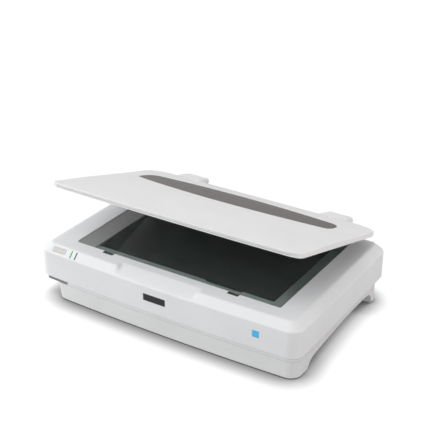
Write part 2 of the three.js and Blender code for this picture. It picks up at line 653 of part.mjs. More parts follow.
piece(carriage, 'sensor_board', join(
  box(carriageMiddle - 32, carriageMiddle - 30.4, LENS_Y - 40, LENS_Y + 40,
    CARRIAGE.bottom + TRAY_WALL, 98),
  box(carriageMiddle - 31, carriageMiddle - 27, LENS_Y - 32, LENS_Y + 32, LENS_Z - 5, LENS_Z + 5),
), material.board);

function beltClamp() {
  const runY = BELT.y - (beltInner + beltOuter) / 2;
  const block = box(carriageMiddle - 10, carriageMiddle + 10, runY - 5, runY + 5, BELT.bottom - 1,
    CARRIAGE.bottom - 0.05);
  const slit = box(carriageMiddle - 11, carriageMiddle + 11, runY - BELT.thickness / 2 - GAP,
    runY + BELT.thickness / 2 + GAP, BELT.bottom - 2, BELT.top + GAP);
  return cut(block, slit);
}
piece(carriage, 'belt_clamp', beltClamp(), material.zinc);

// ---- Hinge posts, which slide up out of the sockets ----
const POST = { halfWidth: 22, halfDepth: 6, bottom: 62, shoulder: 126, neckHalfWidth: 12 };
const KNUCKLE_RADIUS = 6.5;
const HINGE_PIN_RADIUS = 2.6;
for (const [name, x] of [['hinge_post_left', -HINGE.x], ['hinge_post_right', HINGE.x]]) {
  const blade = box(x - POST.halfWidth, x + POST.halfWidth, HINGE.y - POST.halfDepth,
    HINGE.y + POST.halfDepth, POST.bottom, POST.shoulder);
  const neck = box(x - POST.neckHalfWidth, x + POST.neckHalfWidth, HINGE.y - POST.halfDepth,
    HINGE.y + POST.halfDepth, POST.shoulder - 1, HINGE.z);
  const knuckle = rodAlongX(KNUCKLE_RADIUS, x - POST.neckHalfWidth, x + POST.neckHalfWidth,
    HINGE.y, HINGE.z, 20);
  const bore = rodAlongX(HINGE_PIN_RADIUS + GAP, x - 60, x + 60, HINGE.y, HINGE.z, 16);
  piece(fixed, name, cut(join(blade, neck, knuckle), bore), material.steel);
}

// ---- Lid, drawn closed and then turned open about the hinge axis ----
const LID_SHAPE = { ...LID, radii: [16, 26, 26, 26] };
const LID_MIDDLE_Y = (LID.front + LID.back) / 2;
const LID_HALF_DEPTH = (LID.back - LID.front) / 2;

// Height of the lid's crowned top above the table when the lid is closed.
function lidTop(x, y) {
  const along = Math.max(0, 1 - (x / LID.right) ** 2);
  const across = Math.max(0, 1 - ((y - LID_MIDDLE_Y) / LID_HALF_DEPTH) ** 2);
  const back = (y - LID.front) / (LID.back - LID.front);
  return RIM_FRONT_Z + (RIM_BACK_Z - RIM_FRONT_Z) * back + LID.crown * along * across;
}

// The lid's solid form: inset from its outline, its top lowered by drop.
function lidForm(inset, drop, bottom) {
  const edge = outline(LID_SHAPE, inset);
  const rings = [level(outline(LID_SHAPE, inset + 2), bottom), level(edge, bottom + 2.5)];
  for (const scale of [1, 0.985, 0.9, 0.75, 0.55, 0.3, 0.05]) {
    const soften = scale === 1 ? 2 : 0;
    rings.push(edge.map((p) => {
      const x = p.x * scale;
      const y = LID_MIDDLE_Y + (p.y - LID_MIDDLE_Y) * scale;
      return new THREE.Vector3(x, y, lidTop(x, y) - drop - soften);
    }));
  }
  return loft(rings);
}

const PANEL = { tipX: 251, tipY: 266, shoulderX: 240, backY: 324, frontY: 204, depth: 2.2 };
function panelShape(margin) {
  const shape = new THREE.Shape();
  const tip = PANEL.tipX + margin;
  shape.moveTo(-tip, PANEL.tipY);
  shape.quadraticCurveTo(0, 2 * (PANEL.frontY - margin) - PANEL.tipY, tip, PANEL.tipY);
  shape.quadraticCurveTo(tip - 4, PANEL.backY + margin, PANEL.shoulderX, PANEL.backY + margin);
  shape.lineTo(-PANEL.shoulderX, PANEL.backY + margin);
  shape.quadraticCurveTo(-tip + 4, PANEL.backY + margin, -tip, PANEL.tipY);
  return shape;
}

const LID_WALL = 3.5;
const POCKET_DROP = 6;
const ARM = { halfWidth: 17.5, earWidth: 4, front: 372, bottom: 136.5, top: 139.5 };
const MAT = { left: -250, right: 254, front: 53, back: 380, thickness: 5.7 };
const LINER_THICKNESS = 2.5;

function lidCover() {
  const pocket = lidForm(LID_WALL, POCKET_DROP, LID.underside - 3);
  const recess = cut(prism(panelShape(0.4), 120, 180, 16), lidForm(-6, PANEL.depth, 100));
  const armNotches = [-HINGE.x, HINGE.x].map((x) =>
    box(x - ARM.halfWidth - 0.5, x + ARM.halfWidth + 0.5, LID.back - 12, LID.back + 5,
      LID.underside - 1, ARM.top + 4));
  return cut(lidForm(0, 0, LID.underside), pocket, recess, ...armNotches);
}
piece(lid, 'lid_cover', lidCover(), material.lidWhite);

const panelBlock = common(prism(panelShape(0), 120, 180, 16), lidForm(-3, 0.2, 110));
piece(lid, 'lid_panel', cut(panelBlock, lidForm(-6, PANEL.depth - GAP, 100)), material.taupe);

function lidLiner() {
  const plate = loft([
    level(outline(LID_SHAPE, LID_WALL + 1), LID.underside),
    level(outline(LID_SHAPE, LID_WALL + 1), LID.underside + LINER_THICKNESS),
  ]);
  const armNotches = [-HINGE.x, HINGE.x].map((x) =>
    box(x - ARM.halfWidth - 0.5, x + ARM.halfWidth + 0.5, LID.back - 14, LID.back + 5, 120, 150));
  return cut(plate, ...armNotches);
}
piece(lid, 'lid_liner', lidLiner(), material.lidWhite);
piece(lid, 'document_mat', prism(roundedRect(MAT.left, MAT.right, MAT.front, MAT.back, 4),
  LID.underside - GAP - MAT.thickness, LID.underside - GAP, 3), material.foam);

for (const [name, x] of [['lid_bumper_left', -285], ['lid_bumper_right', 285]]) {
  piece(lid, name, rodAlongZ(5, DECK_Z + 1, LID.underside - 0.05, x, 40, 12), material.rubber);
}

// Hinge arm: two ears around the post's knuckle, joined by a plate that runs into the lid.
function hingeArm(x) {
  const { y, z } = HINGE;
  const earProfile = new THREE.Shape();
  earProfile.absarc(y, z, KNUCKLE_RADIUS, -0.5 * Math.PI, 0.5 * Math.PI);
  earProfile.lineTo(y - 20, z + 1);
  earProfile.lineTo(LID.back - 2, ARM.top);
  earProfile.lineTo(LID.back - 2, ARM.bottom);
  earProfile.lineTo(y - 12, ARM.bottom);
  const ears = [x - ARM.halfWidth, x + ARM.halfWidth - ARM.earWidth].map((start) =>
    prismAlongX(earProfile, start, start + ARM.earWidth, 8));
  const plate = box(x - ARM.halfWidth, x + ARM.halfWidth, ARM.front, HINGE.y - 12, ARM.bottom, ARM.top);
  const bore = rodAlongX(HINGE_PIN_RADIUS + GAP, x - 60, x + 60, y, z, 16);
  return cut(join(plate, ...ears), bore);
}

// Hinge cover: a rounded hood behind the lid, open underneath, notched to clear the post.
const HOOD = { halfWidth: 38, front: LID.back + GAP, wall: 2.4, frontTop: 150.5, bottom: 133.6 };
function hoodProfile(offset) {
  const { y, z, coverRadius } = HINGE;
  const radius = coverRadius - offset;
  const shape = new THREE.Shape();
  shape.moveTo(HOOD.front - offset, HOOD.bottom - offset);
  shape.lineTo(y, HOOD.bottom - offset);
  shape.lineTo(y + radius * Math.cos(0.6), z - radius * Math.sin(0.6) - offset);
  shape.absarc(y, z, radius, -0.6, 0.5 * Math.PI);
  shape.lineTo(HOOD.front - offset, HOOD.frontTop - offset);
  return shape;
}
function hingeHood(x) {
  const { halfWidth, wall } = HOOD;
  const outer = prismAlongX(hoodProfile(0), x - halfWidth, x + halfWidth);
  const inner = prismAlongX(hoodProfile(wall), x - halfWidth + wall, x + halfWidth - wall);
  const below = box(x - halfWidth + wall, x + halfWidth - wall, HOOD.front - 1, HINGE.y + 6, 120,
    HOOD.bottom + 3);
  const postNotch = box(x - POST.halfWidth - 1, x + POST.halfWidth + 1, HINGE.y - 4, HINGE.y + 30, 120,
    HINGE.z + 4.5);
  return cut(outer, inner, below, postNotch);
}
for (const [side, x] of [['left', -HINGE.x], ['right', HINGE.x]]) {
  piece(lid, `hinge_arm_${side}`, hingeArm(x), material.steel);
  piece(lid, `hinge_pin_${side}`, rodAlongX(HINGE_PIN_RADIUS, x - ARM.halfWidth - 2,
    x + ARM.halfWidth + 2, HINGE.y, HINGE.z, 12), material.steel);
  piece(lid, `hinge_cover_${side}`, hingeHood(x), material.lidWhite);
}

for (const mesh of lid.children) {
  mesh.geometry.translate(0, -HINGE.y, -HINGE.z);
}
lid.position.set(0, HINGE.y, HINGE.z);
lid.rotation.x = THREE.MathUtils.degToRad(-LID_REST_ANGLE);

// The box runs from the bowed front to the back of the hinge covers.
model.position.y = -(HINGE.y + HINGE.coverRadius - FRONT_BOW) / 2;

export default model;
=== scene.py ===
"""Finished looks of a large-format flatbed scanner, built around its packed frame.

Shapes are worked out in millimetres, with y = 0 on the front line of the case and z = 0 on
the table, and go into the scene in metres. The lid is built closed and then turned open.
"""
import json
import math
from types import SimpleNamespace as Sizes

import bmesh
import bpy
from mathutils import Matrix, Vector


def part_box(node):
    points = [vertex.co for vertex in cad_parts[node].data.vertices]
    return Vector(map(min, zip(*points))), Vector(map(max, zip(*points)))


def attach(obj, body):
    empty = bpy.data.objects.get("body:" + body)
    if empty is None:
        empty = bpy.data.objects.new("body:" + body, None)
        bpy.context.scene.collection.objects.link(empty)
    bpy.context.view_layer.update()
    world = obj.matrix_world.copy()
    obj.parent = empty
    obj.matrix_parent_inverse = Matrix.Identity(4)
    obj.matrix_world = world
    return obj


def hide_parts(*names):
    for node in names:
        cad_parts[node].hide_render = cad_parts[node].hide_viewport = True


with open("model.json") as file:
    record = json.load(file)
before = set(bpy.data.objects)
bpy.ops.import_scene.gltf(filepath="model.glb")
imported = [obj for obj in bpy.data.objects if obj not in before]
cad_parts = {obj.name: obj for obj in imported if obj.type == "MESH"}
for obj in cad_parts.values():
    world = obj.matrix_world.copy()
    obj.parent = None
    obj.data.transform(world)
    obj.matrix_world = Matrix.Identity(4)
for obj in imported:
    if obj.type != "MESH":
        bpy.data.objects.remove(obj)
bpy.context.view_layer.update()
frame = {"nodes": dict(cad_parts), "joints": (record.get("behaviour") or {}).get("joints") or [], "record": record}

MM = 0.001
BOW = 6.8  # how far the middle of the front stands forward of its corners
FRONT_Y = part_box("upper_case")[0].y / MM + BOW


def span(node):
    """A CAD node's box in layout millimetres."""
    low, high = (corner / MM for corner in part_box(node))
    return Sizes(left=low.x, right=high.x, front=low.y - FRONT_Y, back=high.y - FRONT_Y,
                 bottom=low.z, top=high.z)


def joint(name):
    return next(j for j in frame["joints"] if j["name"] == name)


# ---- Sizes, worked out from the frame ----
case_box = span("upper_case")
glass = span("platen_glass")
strip = span("border_strip")
base_box = span("lower_shell")
GAP = 0.3
WALL = 3.0
CORNER = 29.0
HALF_WIDTH = case_box.right
BOW_HALF = HALF_WIDTH - CORNER
SEAM_Z = case_box.bottom
DECK_Z = case_box.top
CASE_DEPTH = span("guide_shaft").front + 25.0  # the shaft lies just inside the back wall
FLANGE_Z = base_box.top
FLOOR_Z = 6.0
FOOT_Z = base_box.bottom
LEDGE_BOTTOM = glass.bottom - WALL
OPENING = Sizes(left=strip.left - GAP, right=glass.right + GAP, front=glass.front - GAP,
                back=glass.back + GAP, radii=(9.0, 3.0, 3.0, 3.0))
# The hole in the ledge that carries the glass
APERTURE = Sizes(left=OPENING.left + 44, right=OPENING.right - 26, front=OPENING.front + 21,
                 back=OPENING.back - 10, radii=(3.0,) * 4)
# A black bar let into the ledge, under the glass
CLIP = Sizes(left=72.0, right=160.0, front=APERTURE.front - 4.2, bottom=glass.bottom - 0.6,
             top=glass.bottom - 0.05, thickness=4.0)
CASE = Sizes(left=-HALF_WIDTH, right=HALF_WIDTH, front=0.0, back=CASE_DEPTH, radii=(CORNER,) * 4)
BASE_SEAM = Sizes(left=-286.0, right=HALF_WIDTH, front=0.0, back=374.0,
                  radii=(20.0, CORNER, 22.0, 22.0))
BASE_FLOOR = Sizes(left=-280.0, right=325.0, front=1.0, back=385.0, radii=(20.0, 27.0, 22.0, 22.0))

hinge = Vector(joint("lid_hinge")["pos_m"]) / MM
HINGE_Y = hinge.y - FRONT_Y
HINGE_Z = hinge.z
HINGE_X = (span("hinge_cover_right").left + span("hinge_cover_right").right) / 2
COVER_RADIUS = 11.2
OPEN_ANGLE = math.radians(-joint("lid_hinge")["range_deg"][0])
# The lid's outline when closed; the frame holds it open
LID = Sizes(left=-306.0, right=306.0, front=14.7, back=400.0, radii=(16.0, 26.0, 26.0, 26.0))
LID_UNDERSIDE = 132.0
LID_MIDDLE_Y = (LID.front + LID.back) / 2
LID_HALF_DEPTH = (LID.back - LID.front) / 2
RIM_FRONT_Z = 143.0
RIM_RISE = 3.5
CROWN = 12.5
LID_WALL = 3.5

SLOPE_Y = 8.2
SLOPE_Z = 118.8
SLOPE_ANGLE = math.pi / 4


# ---- Outlines and profiles ----
def bow_at(x):
    return BOW * max(0.0, 1 - (x / BOW_HALF) ** 2)


def outline(area, inset_x=0.0, inset_y=None, along=(1, 1, 1, 1), corner_steps=12, bow=True):
    """Points round a rounded rectangle with a bowed front, anticlockwise from its left side."""
    inset_y = inset_x if inset_y is None else inset_y
    x = (area.left + inset_x, area.right - inset_x)
    y = (area.front + inset_y, area.back - inset_y)
    corners = ((x[0], y[0], 1, 1), (x[1], y[0], -1, 1), (x[1], y[1], -1, -1), (x[0], y[1], 1, -1))
    arcs = []
    for corner, (corner_x, corner_y, toward_x, toward_y) in enumerate(corners):
        radius = max(area.radii[corner] - min(inset_x, inset_y), 1.0)
        centre = Vector((corner_x + toward_x * radius, corner_y + toward_y * radius))
        turns = [math.pi + (corner + step / corner_steps) * math.pi / 2 for step in range(corner_steps + 1)]
        arcs.append([centre + radius * Vector((math.cos(turn), math.sin(turn))) for turn in turns])
    points = []
    for corner, arc in enumerate(arcs):
        points += arc
        end = arcs[(corner + 1) % 4][0]
        points += [arc[-1].lerp(end, step / along[corner]) for step in range(1, along[corner])]
    middle = (y[0] + y[1]) / 2
    if bow:
        points = [Vector((p.x, p.y - bow_at(p.x))) if p.y < middle else p for p in points]
    return points


def level(points, z):
    return [Vector((p.x, p.y, z)) for p in points]


def fillet(corners, steps=5):
    """A polyline through (x, y, radius) corners, each rounded by its radius."""
    line = []
    for index, (x, y, radius) in enumerate(corners):
        here = Vector((x, y))
        if radius == 0 or index in (0, len(corners) - 1):
            line.append(here)
            continue
        back = (Vector(corners[index - 1][:2]) - here).normalized()
        ahead = (Vector(corners[index + 1][:2]) - here).normalized()
        half = back.angle(ahead) / 2
        reach = radius / math.tan(half)
        centre = here + (back + ahead).normalized() * radius / math.sin(half)
        start = here + back * reach - centre
        end = here + ahead * reach - centre
        line += [centre + start.slerp(end, step / steps).normalized() * radius for step in range(steps + 1)]
    return line


def smooth_line(points, steps=6):
    """A Catmull-Rom line through the points."""
    ends = [points[0] * 2 - points[1], *points, points[-1] * 2 - points[-2]]
    line = []
    for before, start, end, after in zip(ends, ends[1:], ends[2:], ends[3:]):
        for step in range(steps):
            t = step / steps
            square = (2 * before - 5 * start + 4 * end - after) * t ** 2
            cube = (3 * start - before - 3 * end + after) * t ** 3
            line.append(0.5 * (2 * start + (end - before) * t + square + cube))
    return [*line, points[-1]]


def smoothstep(low, high, value):
    t = min(max((value - low) / (high - low), 0.0), 1.0)
    return t * t * (3 - 2 * t)


# ---- Solids ----
def add_object(name, data):
    made = bpy.data.objects.new(name, data)
    bpy.context.scene.collection.objects.link(made)
    return made


def solid(vertices, faces):
    """A closed mesh object from layout millimetres, its faces pointing out."""
    mesh = bpy.data.meshes.new("solid")
    mesh.from_pydata([(x * MM, (y + FRONT_Y) * MM, z * MM) for x, y, z in vertices], [], faces)
    build = bmesh.new()
    build.from_mesh(mesh)
    bmesh.ops.recalc_face_normals(build, faces=build.faces)
    build.to_mesh(mesh)
    build.free()
    return add_object("solid", mesh)


def upright(points, *heights):
    """A straight prism of the points between two heights."""
    return loft([level(points, z) for z in heights])


def loft(rings):
    """A skin through rings of equal point count, capped at both ends."""
    count = len(rings[0])
    faces = [tuple(range(count))[::-1], tuple(range((len(rings) - 1) * count, len(rings) * count))]
    for ring in range(len(rings) - 1):
        for i in range(count):
            j = (i + 1) % count
            low = ring * count
            faces.append((low + i, low + j, low + count + j, low + count + i))
    return solid([p for ring in rings for p in ring], faces)


def block(x0, x1, y0, y1, z0, z1):
    corners = [Vector((x, y)) for x, y in ((x0, y0), (x1, y0), (x1, y1), (x0, y1))]
    return upright(corners, z0, z1)


def prism_along_x(points, x0, x1):
    return loft([[Vector((x, p.x, p.y)) for p in points] for x in (x0, x1)])


def rod(axis, radius, start, end, centre, steps=32):
    """A plain round bar; centre is the pair of coordinates across its axis."""
    rings = []
    for along in (start, end):
        ring = []
        for step in range(steps):
            turn = 2 * math.pi * step / steps
            across = (centre[0] + radius * math.cos(turn), centre[1] + radius * math.sin(turn))
            ring.append(Vector((along, *across)) if axis == "x" else Vector((*across, along)))
        rings.append(ring)
    return loft(rings)


def lathe(profile, centre, steps=40):
    """A turned solid about a vertical axis, from (radius, z) points that start and end at the axis."""
    turns = [2 * math.pi * step / steps for step in range(steps)]
    rings = []
    for radius, z in profile:
        rings.append([Vector((centre[0] + radius * math.cos(turn), centre[1] + radius * math.sin(turn), z))
                      for turn in turns])
    return loft(rings)


def apply_modifiers(target):
    graph = bpy.context.evaluated_depsgraph_get()
    mesh = bpy.data.meshes.new_from_object(target.evaluated_get(graph), depsgraph=graph)
    target.modifiers.clear()
    old = target.data
    target.data = mesh
    bpy.data.meshes.remove(old)


def carve(operation, target, *others):
    """Cuts, joins or intersects target with each of the others in turn, and removes them."""
    for other in others:
        modifier = target.modifiers.new("carve", "BOOLEAN")
        modifier.operation = operation
        modifier.solver = "MANIFOLD"
        modifier.object = other
    apply_modifiers(target)
    for other in others:
        bpy.data.objects.remove(other)
    return target


def cut(target, *others):
    return carve("DIFFERENCE", target, *others)


def join(target, *others):
    return carve("UNION", target, *others)


def common(target, *others):
    return carve("INTERSECT", target, *others)


def flared(area, bottom, top, flare=0.8, inset=0.0, bow=False):
    """A cutter with a rounded mouth, so that the hole it leaves has a soft lip."""
    brim = 2 * flare
    profile = fillet([(0, bottom, 0), (0, top, flare), (brim, top, 0), (brim, top + 2, 0)], steps=3)
    return loft([level(outline(area, inset - p.x, bow=bow), p.y) for p in profile])


def moved(target, matrix):
    target.data.transform(matrix)
    return target


def mm_matrix(x, y, z):
    return Matrix.Translation(Vector((x, y + FRONT_Y, z)) * MM)


def soften(target, width, segments=2, angle=40):
    """Rounds the sharp edges of a finished piece."""
    bevel = target.modifiers.new("edges", "BEVEL")
    bevel.width = width * MM
    bevel.segments = segments
    bevel.limit_method = "ANGLE"
    bevel.angle_limit = math.radians(angle)
    bevel.use_clamp_overlap = True
    return target


def shade(target, angle=32):
    for polygon in target.data.polygons:
        polygon.use_smooth = True
    target.data.set_sharp_from_angle(angle=math.radians(angle))
    normals = target.modifiers.new("normals", "WEIGHTED_NORMAL")
    normals.keep_sharp = True
    normals.weight = 80
    return target


def rounded_off(target, width, segments=2, angle=40, shade_angle=32):
    """Rounds a piece's edges for good, and shades it."""
    soften(target, width, segments, angle)
    apply_modifiers(target)
    return shade(target, shade_angle)


def piece(target, name, body, slot, node=None, looks=()):
    """Names a finished piece, gives it its materials and puts it on its body in place of its node."""
    target.name = name
    for index, look in enumerate(looks or (slot,)):
        if index < len(target.data.materials):
            target.data.materials[index] = finish[look]
        else:
            target.data.materials.append(finish[look])
    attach(target, body)
    if node:
        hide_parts(node)


def turn_lid(target):
    """Turns a piece of the lid from closed to its rest angle."""
    to_axis = mm_matrix(0, HINGE_Y, HINGE_Z)
    return moved(target, to_axis @ Matrix.Rotation(-OPEN_ANGLE, 4, "X") @ to_axis.inverted())


# ---- Materials ----
finish = {}  # every material by name


class Finish:
    """One procedural material, with short-hand for its nodes."""

    def __init__(self, name):
        self.material = bpy.data.materials.new(name)
        self.material.use_nodes = True
        self.tree = self.material.node_tree
        self.shader = self.tree.nodes["Principled BSDF"]
        self.place = self.add("ShaderNodeTexCoord").outputs["Object"]
        finish[name] = self.material

    def add(self, kind, inputs=None, **settings):
        node = self.tree.nodes.new(kind)
        for key, value in settings.items():
            setattr(node, key, value)
        for key, value in (inputs or {}).items():
            self.feed(node.inputs[key], value)
        return node

    def feed(self, socket, value):
        if isinstance(value, bpy.types.NodeSocket):
            self.tree.links.new(value, socket)
        else:
            socket.default_value = value

    def noise(self, size, detail=2.0, stretch=(1, 1, 1)):
        """Noise whose lumps are about size millimetres across, drawn out along an axis by stretch."""
        scale = [1 / (size * MM * s) for s in stretch]
        mapping = self.add("ShaderNodeMapping", {"Vector": self.place, "Scale": scale})
        return self.add("ShaderNodeTexNoise", {"Vector": mapping.outputs[0], "Scale": 1.0,
                                               "Detail": detail}).outputs["Fac"]

    def ramp(self, value, low, high, start=0.0, end=1.0):
        return self.add("ShaderNodeMapRange", {"Value": value, "From Min": low, "From Max": high,
                                               "To Min": start, "To Max": end}).outputs["Result"]

    def vary(self, noise, start, end):
        """Noise spread over a range of values."""
        return self.ramp(noise, 0.3, 0.7, start, end)

    def mix(self, factor, first, second):
        node = self.add("ShaderNodeMix", data_type="RGBA")
        self.feed(node.inputs["Factor"], factor)
        self.feed(node.inputs["A"], first)
        self.feed(node.inputs["B"], second)
        return node.outputs["Result"]

    def sum(self, first, second, operation="ADD"):
        return self.add("ShaderNodeMath", {0: first, 1: second}, operation=operation).outputs[0]

    def bump(self, height, depth):
        node = self.add("ShaderNodeBump", {"Height": height, "Distance": depth * MM, "Strength": 1.0})
        self.feed(self.shader.inputs["Normal"], node.outputs["Normal"])

    def set(self, **inputs):
        for key, value in inputs.items():
            self.feed(self.shader.inputs[key.replace("_", " ").title().replace("Ior", "IOR")], value)

    def show(self, output):
        self.feed(self.tree.nodes["Material Output"].inputs["Surface"], output)


def shaded(colour, factor):
    return (*(c * factor for c in colour[:3]), 1.0)


def grey(value, tint=(1.0, 1.0, 1.0)):
    return (*(value * t for t in tint), 1.0)


def plastic(name, colour, roughness=0.5, grain=0.7, depth=0.012, variation=0.04, scuffs=0.06):
    """Moulded plastic: fine spark-eroded grain, a slow drift in tone, and faint rub marks."""
    f = Finish(name)
    fine = f.noise(grain, 3.0)
    drift = f.noise(70.0, 2.0)
    rubbed = f.ramp(f.noise(9.0, 4.0, (4.0, 1.0, 1.0)), 0.62, 0.72)
    tone = f.mix(f.ramp(drift, 0.3, 0.7), colour, shaded(colour, 1 - variation))
    tone = f.mix(f.vary(fine, 0.0, variation), tone, shaded(colour, 0.8))
    gloss = f.sum(f.vary(fine, roughness - 0.05, roughness + 0.05),
                  f.sum(rubbed, scuffs, "MULTIPLY"), "SUBTRACT")
    f.bump(f.sum(fine, f.sum(rubbed, 0.3, "MULTIPLY")), depth)
    f.set(base_color=tone, roughness=gloss)


def streaked_plastic(name, colour, roughness=0.36):
    """The lid's inlay: fine streaks that run along its length under a satin clear coat."""
    f = Finish(name)
    streaks = f.noise(1.6, 4.0, (60.0, 1.0, 1.0))
    bands = f.noise(9.0, 2.0, (30.0, 1.0, 1.0))
    tone = f.mix(f.ramp(streaks, 0.35, 0.65), shaded(colour, 0.86), shaded(colour, 1.14))
    tone = f.mix(f.ramp(bands, 0.4, 0.6, 0.0, 0.25), tone, shaded(colour, 0.75))
    f.bump(streaks, 0.01)
    f.set(base_color=tone, roughness=f.vary(streaks, roughness, roughness + 0.12),
          coat_weight=0.12, coat_roughness=0.3)


def metal(name, colour, roughness=0.3, stretch=(40.0, 1.0, 1.0), stain=0.1):
    """Bright metal with drawn lines along its length and slightly dulled patches."""
    f = Finish(name)
    lines = f.noise(0.5, 3.0, stretch)
    patches = f.noise(14.0, 3.0)
    tone = f.mix(f.ramp(patches, 0.4, 0.75, 0.0, stain * 4), colour, shaded(colour, 0.7))
    f.bump(lines, 0.006)
    f.set(base_color=tone, metallic=1.0,
          roughness=f.sum(f.vary(lines, roughness - 0.06, roughness + 0.06),
                          f.ramp(patches, 0.4, 0.7, 0.0, stain)))


def rubber(name, colour, ribs=0.0):
    """Matte rubber, dusty in its pores, with moulded ribs where asked for."""
    f = Finish(name)
    pores = f.noise(0.5, 4.0)
    dust = f.ramp(f.noise(6.0, 3.0), 0.45, 0.7, 0.0, 0.35)
    tone = f.mix(dust, colour, grey(0.12))
    height = pores
    if ribs:
        wave = f.add("ShaderNodeTexWave", {"Vector": f.place, "Scale": 1 / (ribs * MM * 6)},
                     bands_direction="X")
        height = f.sum(pores, f.sum(wave.outputs["Fac"], 3.0, "MULTIPLY"))
    f.bump(height, 0.05)
    f.set(base_color=tone, roughness=f.vary(pores, 0.78, 0.95))


def foam_skin(name, colour):
    """A smooth white film over foam: soft dimples and a cloudy, slightly yellowed tone."""
    f = Finish(name)
    dimples = f.noise(6.0, 3.0)
    cells = f.noise(0.8, 2.0)
    clouds = f.noise(60.0, 3.0)
    tone = f.mix(f.ramp(clouds, 0.4, 0.7), colour, shaded(colour, 0.95))
    f.bump(f.sum(dimples, f.sum(cells, 0.15, "MULTIPLY")), 0.12)
    f.set(base_color=tone, roughness=f.vary(cells, 0.5, 0.68))


def lit_lens(name, colour, strength):
    """A moulded light guide, brighter towards the middle of its length."""
    f = Finish(name)
    fine = f.noise(0.6, 2.0)
    glow = f.vary(f.noise(5.0, 1.0), strength * 0.8, strength * 1.2)
    f.bump(fine, 0.01)
    f.set(base_color=f.mix(fine, colour, shaded(colour, 0.8)), emission_color=colour,
          roughness=f.vary(fine, 0.2, 0.3), emission_strength=glow)


def clear_glass(name):
    """Float glass: what lies beneath shows through, with a mirror reflection that grows at low angles."""
    f = Finish(name)
    tint = f.mix(f.noise(40.0), (0.95, 0.985, 0.975, 1), (0.94, 0.98, 0.97, 1))
    clear = f.add("ShaderNodeBsdfTransparent", {"Color": tint})
    haze = f.add("ShaderNodeBsdfDiffuse", {"Color": (0.8, 0.95, 0.93, 1)})
    film = f.vary(f.noise(50.0, 3.0), 0.018, 0.03)
    through = f.add("ShaderNodeMixShader", {0: film, 1: clear.outputs[0], 2: haze.outputs[0]})
    smear = f.ramp(f.noise(30.0, 4.0, (3.0, 1.0, 1.0)), 0.4, 0.8, 0.015, 0.06)
    mirror = f.add("ShaderNodeBsdfAnisotropic", {"Color": (0.95, 1.0, 0.98, 1), "Roughness": smear})
    share = f.add("ShaderNodeFresnel", {"IOR": 1.5})
    both = f.add("ShaderNodeMixShader", {0: share.outputs[0], 1: through.outputs[0], 2: mirror.outputs[0]})
    f.show(both.outputs[0])


def mirror_strip(name):
    f = Finish(name)
    haze = f.noise(8.0, 3.0)
    f.set(base_color=grey(0.86), metallic=1.0, roughness=f.ramp(haze, 0.4, 0.8, 0.02, 0.09))


def circuit_board(name):
    """Green solder mask over copper tracks."""
    f = Finish(name)
    mask = (0.012, 0.095, 0.035, 1)
    cells = f.add("ShaderNodeTexVoronoi", {"Vector": f.place, "Scale": 1 / (4.0 * MM)},
                  distance="MANHATTAN", feature="DISTANCE_TO_EDGE")
    tracks = f.ramp(cells.outputs["Distance"], 0.06, 0.09, 1.0, 0.0)
    f.bump(tracks, 0.05)
    f.set(base_color=f.mix(tracks, mask, (0.03, 0.2, 0.07, 1)),
          roughness=f.vary(f.noise(3.0), 0.25, 0.4))


def floor_finish(name):
    """White paper: pure white to the eye but for a painted shadow close to the object, and open from below."""
    f = Finish(name)
    fine = f.noise(3.0, 2.0)
    # Rays other than the camera's see this darker grey paper, which dims the light thrown back onto the object.
    f.set(base_color=f.mix(fine, grey(0.64), grey(0.62)), roughness=0.9, specular_ior_level=0.0)
    # Painted shadow: the camera sees an emission whose strength drops with ambient occlusion near the object, in
    # place of lamp-cast shade.
    shade_near = f.add("ShaderNodeAmbientOcclusion", {"Distance": 0.052}, samples=24).outputs["AO"]
    painted_shade_level = f.ramp(f.sum(shade_near, 2.0, "POWER"), 0.0, 0.9, 0.03, 1.03)
    paper = f.add("ShaderNodeEmission", {"Color": grey(1.0), "Strength": painted_shade_level})
    seen = f.add("ShaderNodeLightPath").outputs["Is Camera Ray"]
    lit_or_painted = f.add("ShaderNodeMixShader", {0: seen, 1: f.shader.outputs[0], 2: paper.outputs[0]})
    below = f.add("ShaderNodeNewGeometry").outputs["Backfacing"]
    unseen = f.ramp(seen, 0.0, 1.0, 0.12, 0.0)  # how much light comes up through the paper
    clear = f.add("ShaderNodeBsdfTransparent")
    both = f.add("ShaderNodeMixShader", {0: f.sum(below, unseen, "MAXIMUM"), 1: lit_or_painted.outputs[0],
                                         2: clear.outputs[0]})
    f.show(both.outputs[0])


CASE_WHITE = grey(0.77, (0.985, 1.0, 1.012))
BASE_WHITE = grey(0.71, (0.995, 1.0, 1.003))
LID_WHITE = grey(0.80)

plastic("case_white", CASE_WHITE, 0.5)
plastic("base_white", BASE_WHITE, 0.55, grain=1.1, depth=0.02)
plastic("lid_white", LID_WHITE, 0.42, grain=0.6, depth=0.008)
plastic("case_inside", grey(0.05), 0.7, grain=1.5)
# Painted shade: the ledge is the case's white plastic, given a darker grey with the glass's green tint for how it
# looks in shade under the glass.
plastic("ledge", grey(0.6, (0.97, 1.02, 1.0)), 0.6)
streaked_plastic("taupe_plastic", (0.071, 0.058, 0.0525, 1))
clear_glass("glass")
plastic("grey_strip", grey(0.24), 0.55, grain=0.9)
plastic("white_strip", grey(0.9), 0.8, grain=0.4)
plastic("dark_plastic", grey(0.038, (1.05, 1.0, 0.88)), 0.5, depth=0.02)
plastic("badge", grey(0.012, (1.0, 0.93, 1.15)), 0.3, grain=0.4, depth=0.004)
plastic("blue_label", (0.05, 0.52, 0.92, 1), 0.4, grain=0.4, depth=0.004)
lit_lens("green_lens", (0.02, 0.56, 0.10, 1), 0.5)
plastic("smoke_plastic", grey(0.21, (0.98, 1.0, 1.05)), 0.42, depth=0.015)
plastic("beige_plastic", grey(0.57, (1.03, 1.0, 0.95)), 0.45, depth=0.01)
plastic("black_plastic", grey(0.014), 0.5, grain=1.0, depth=0.025)
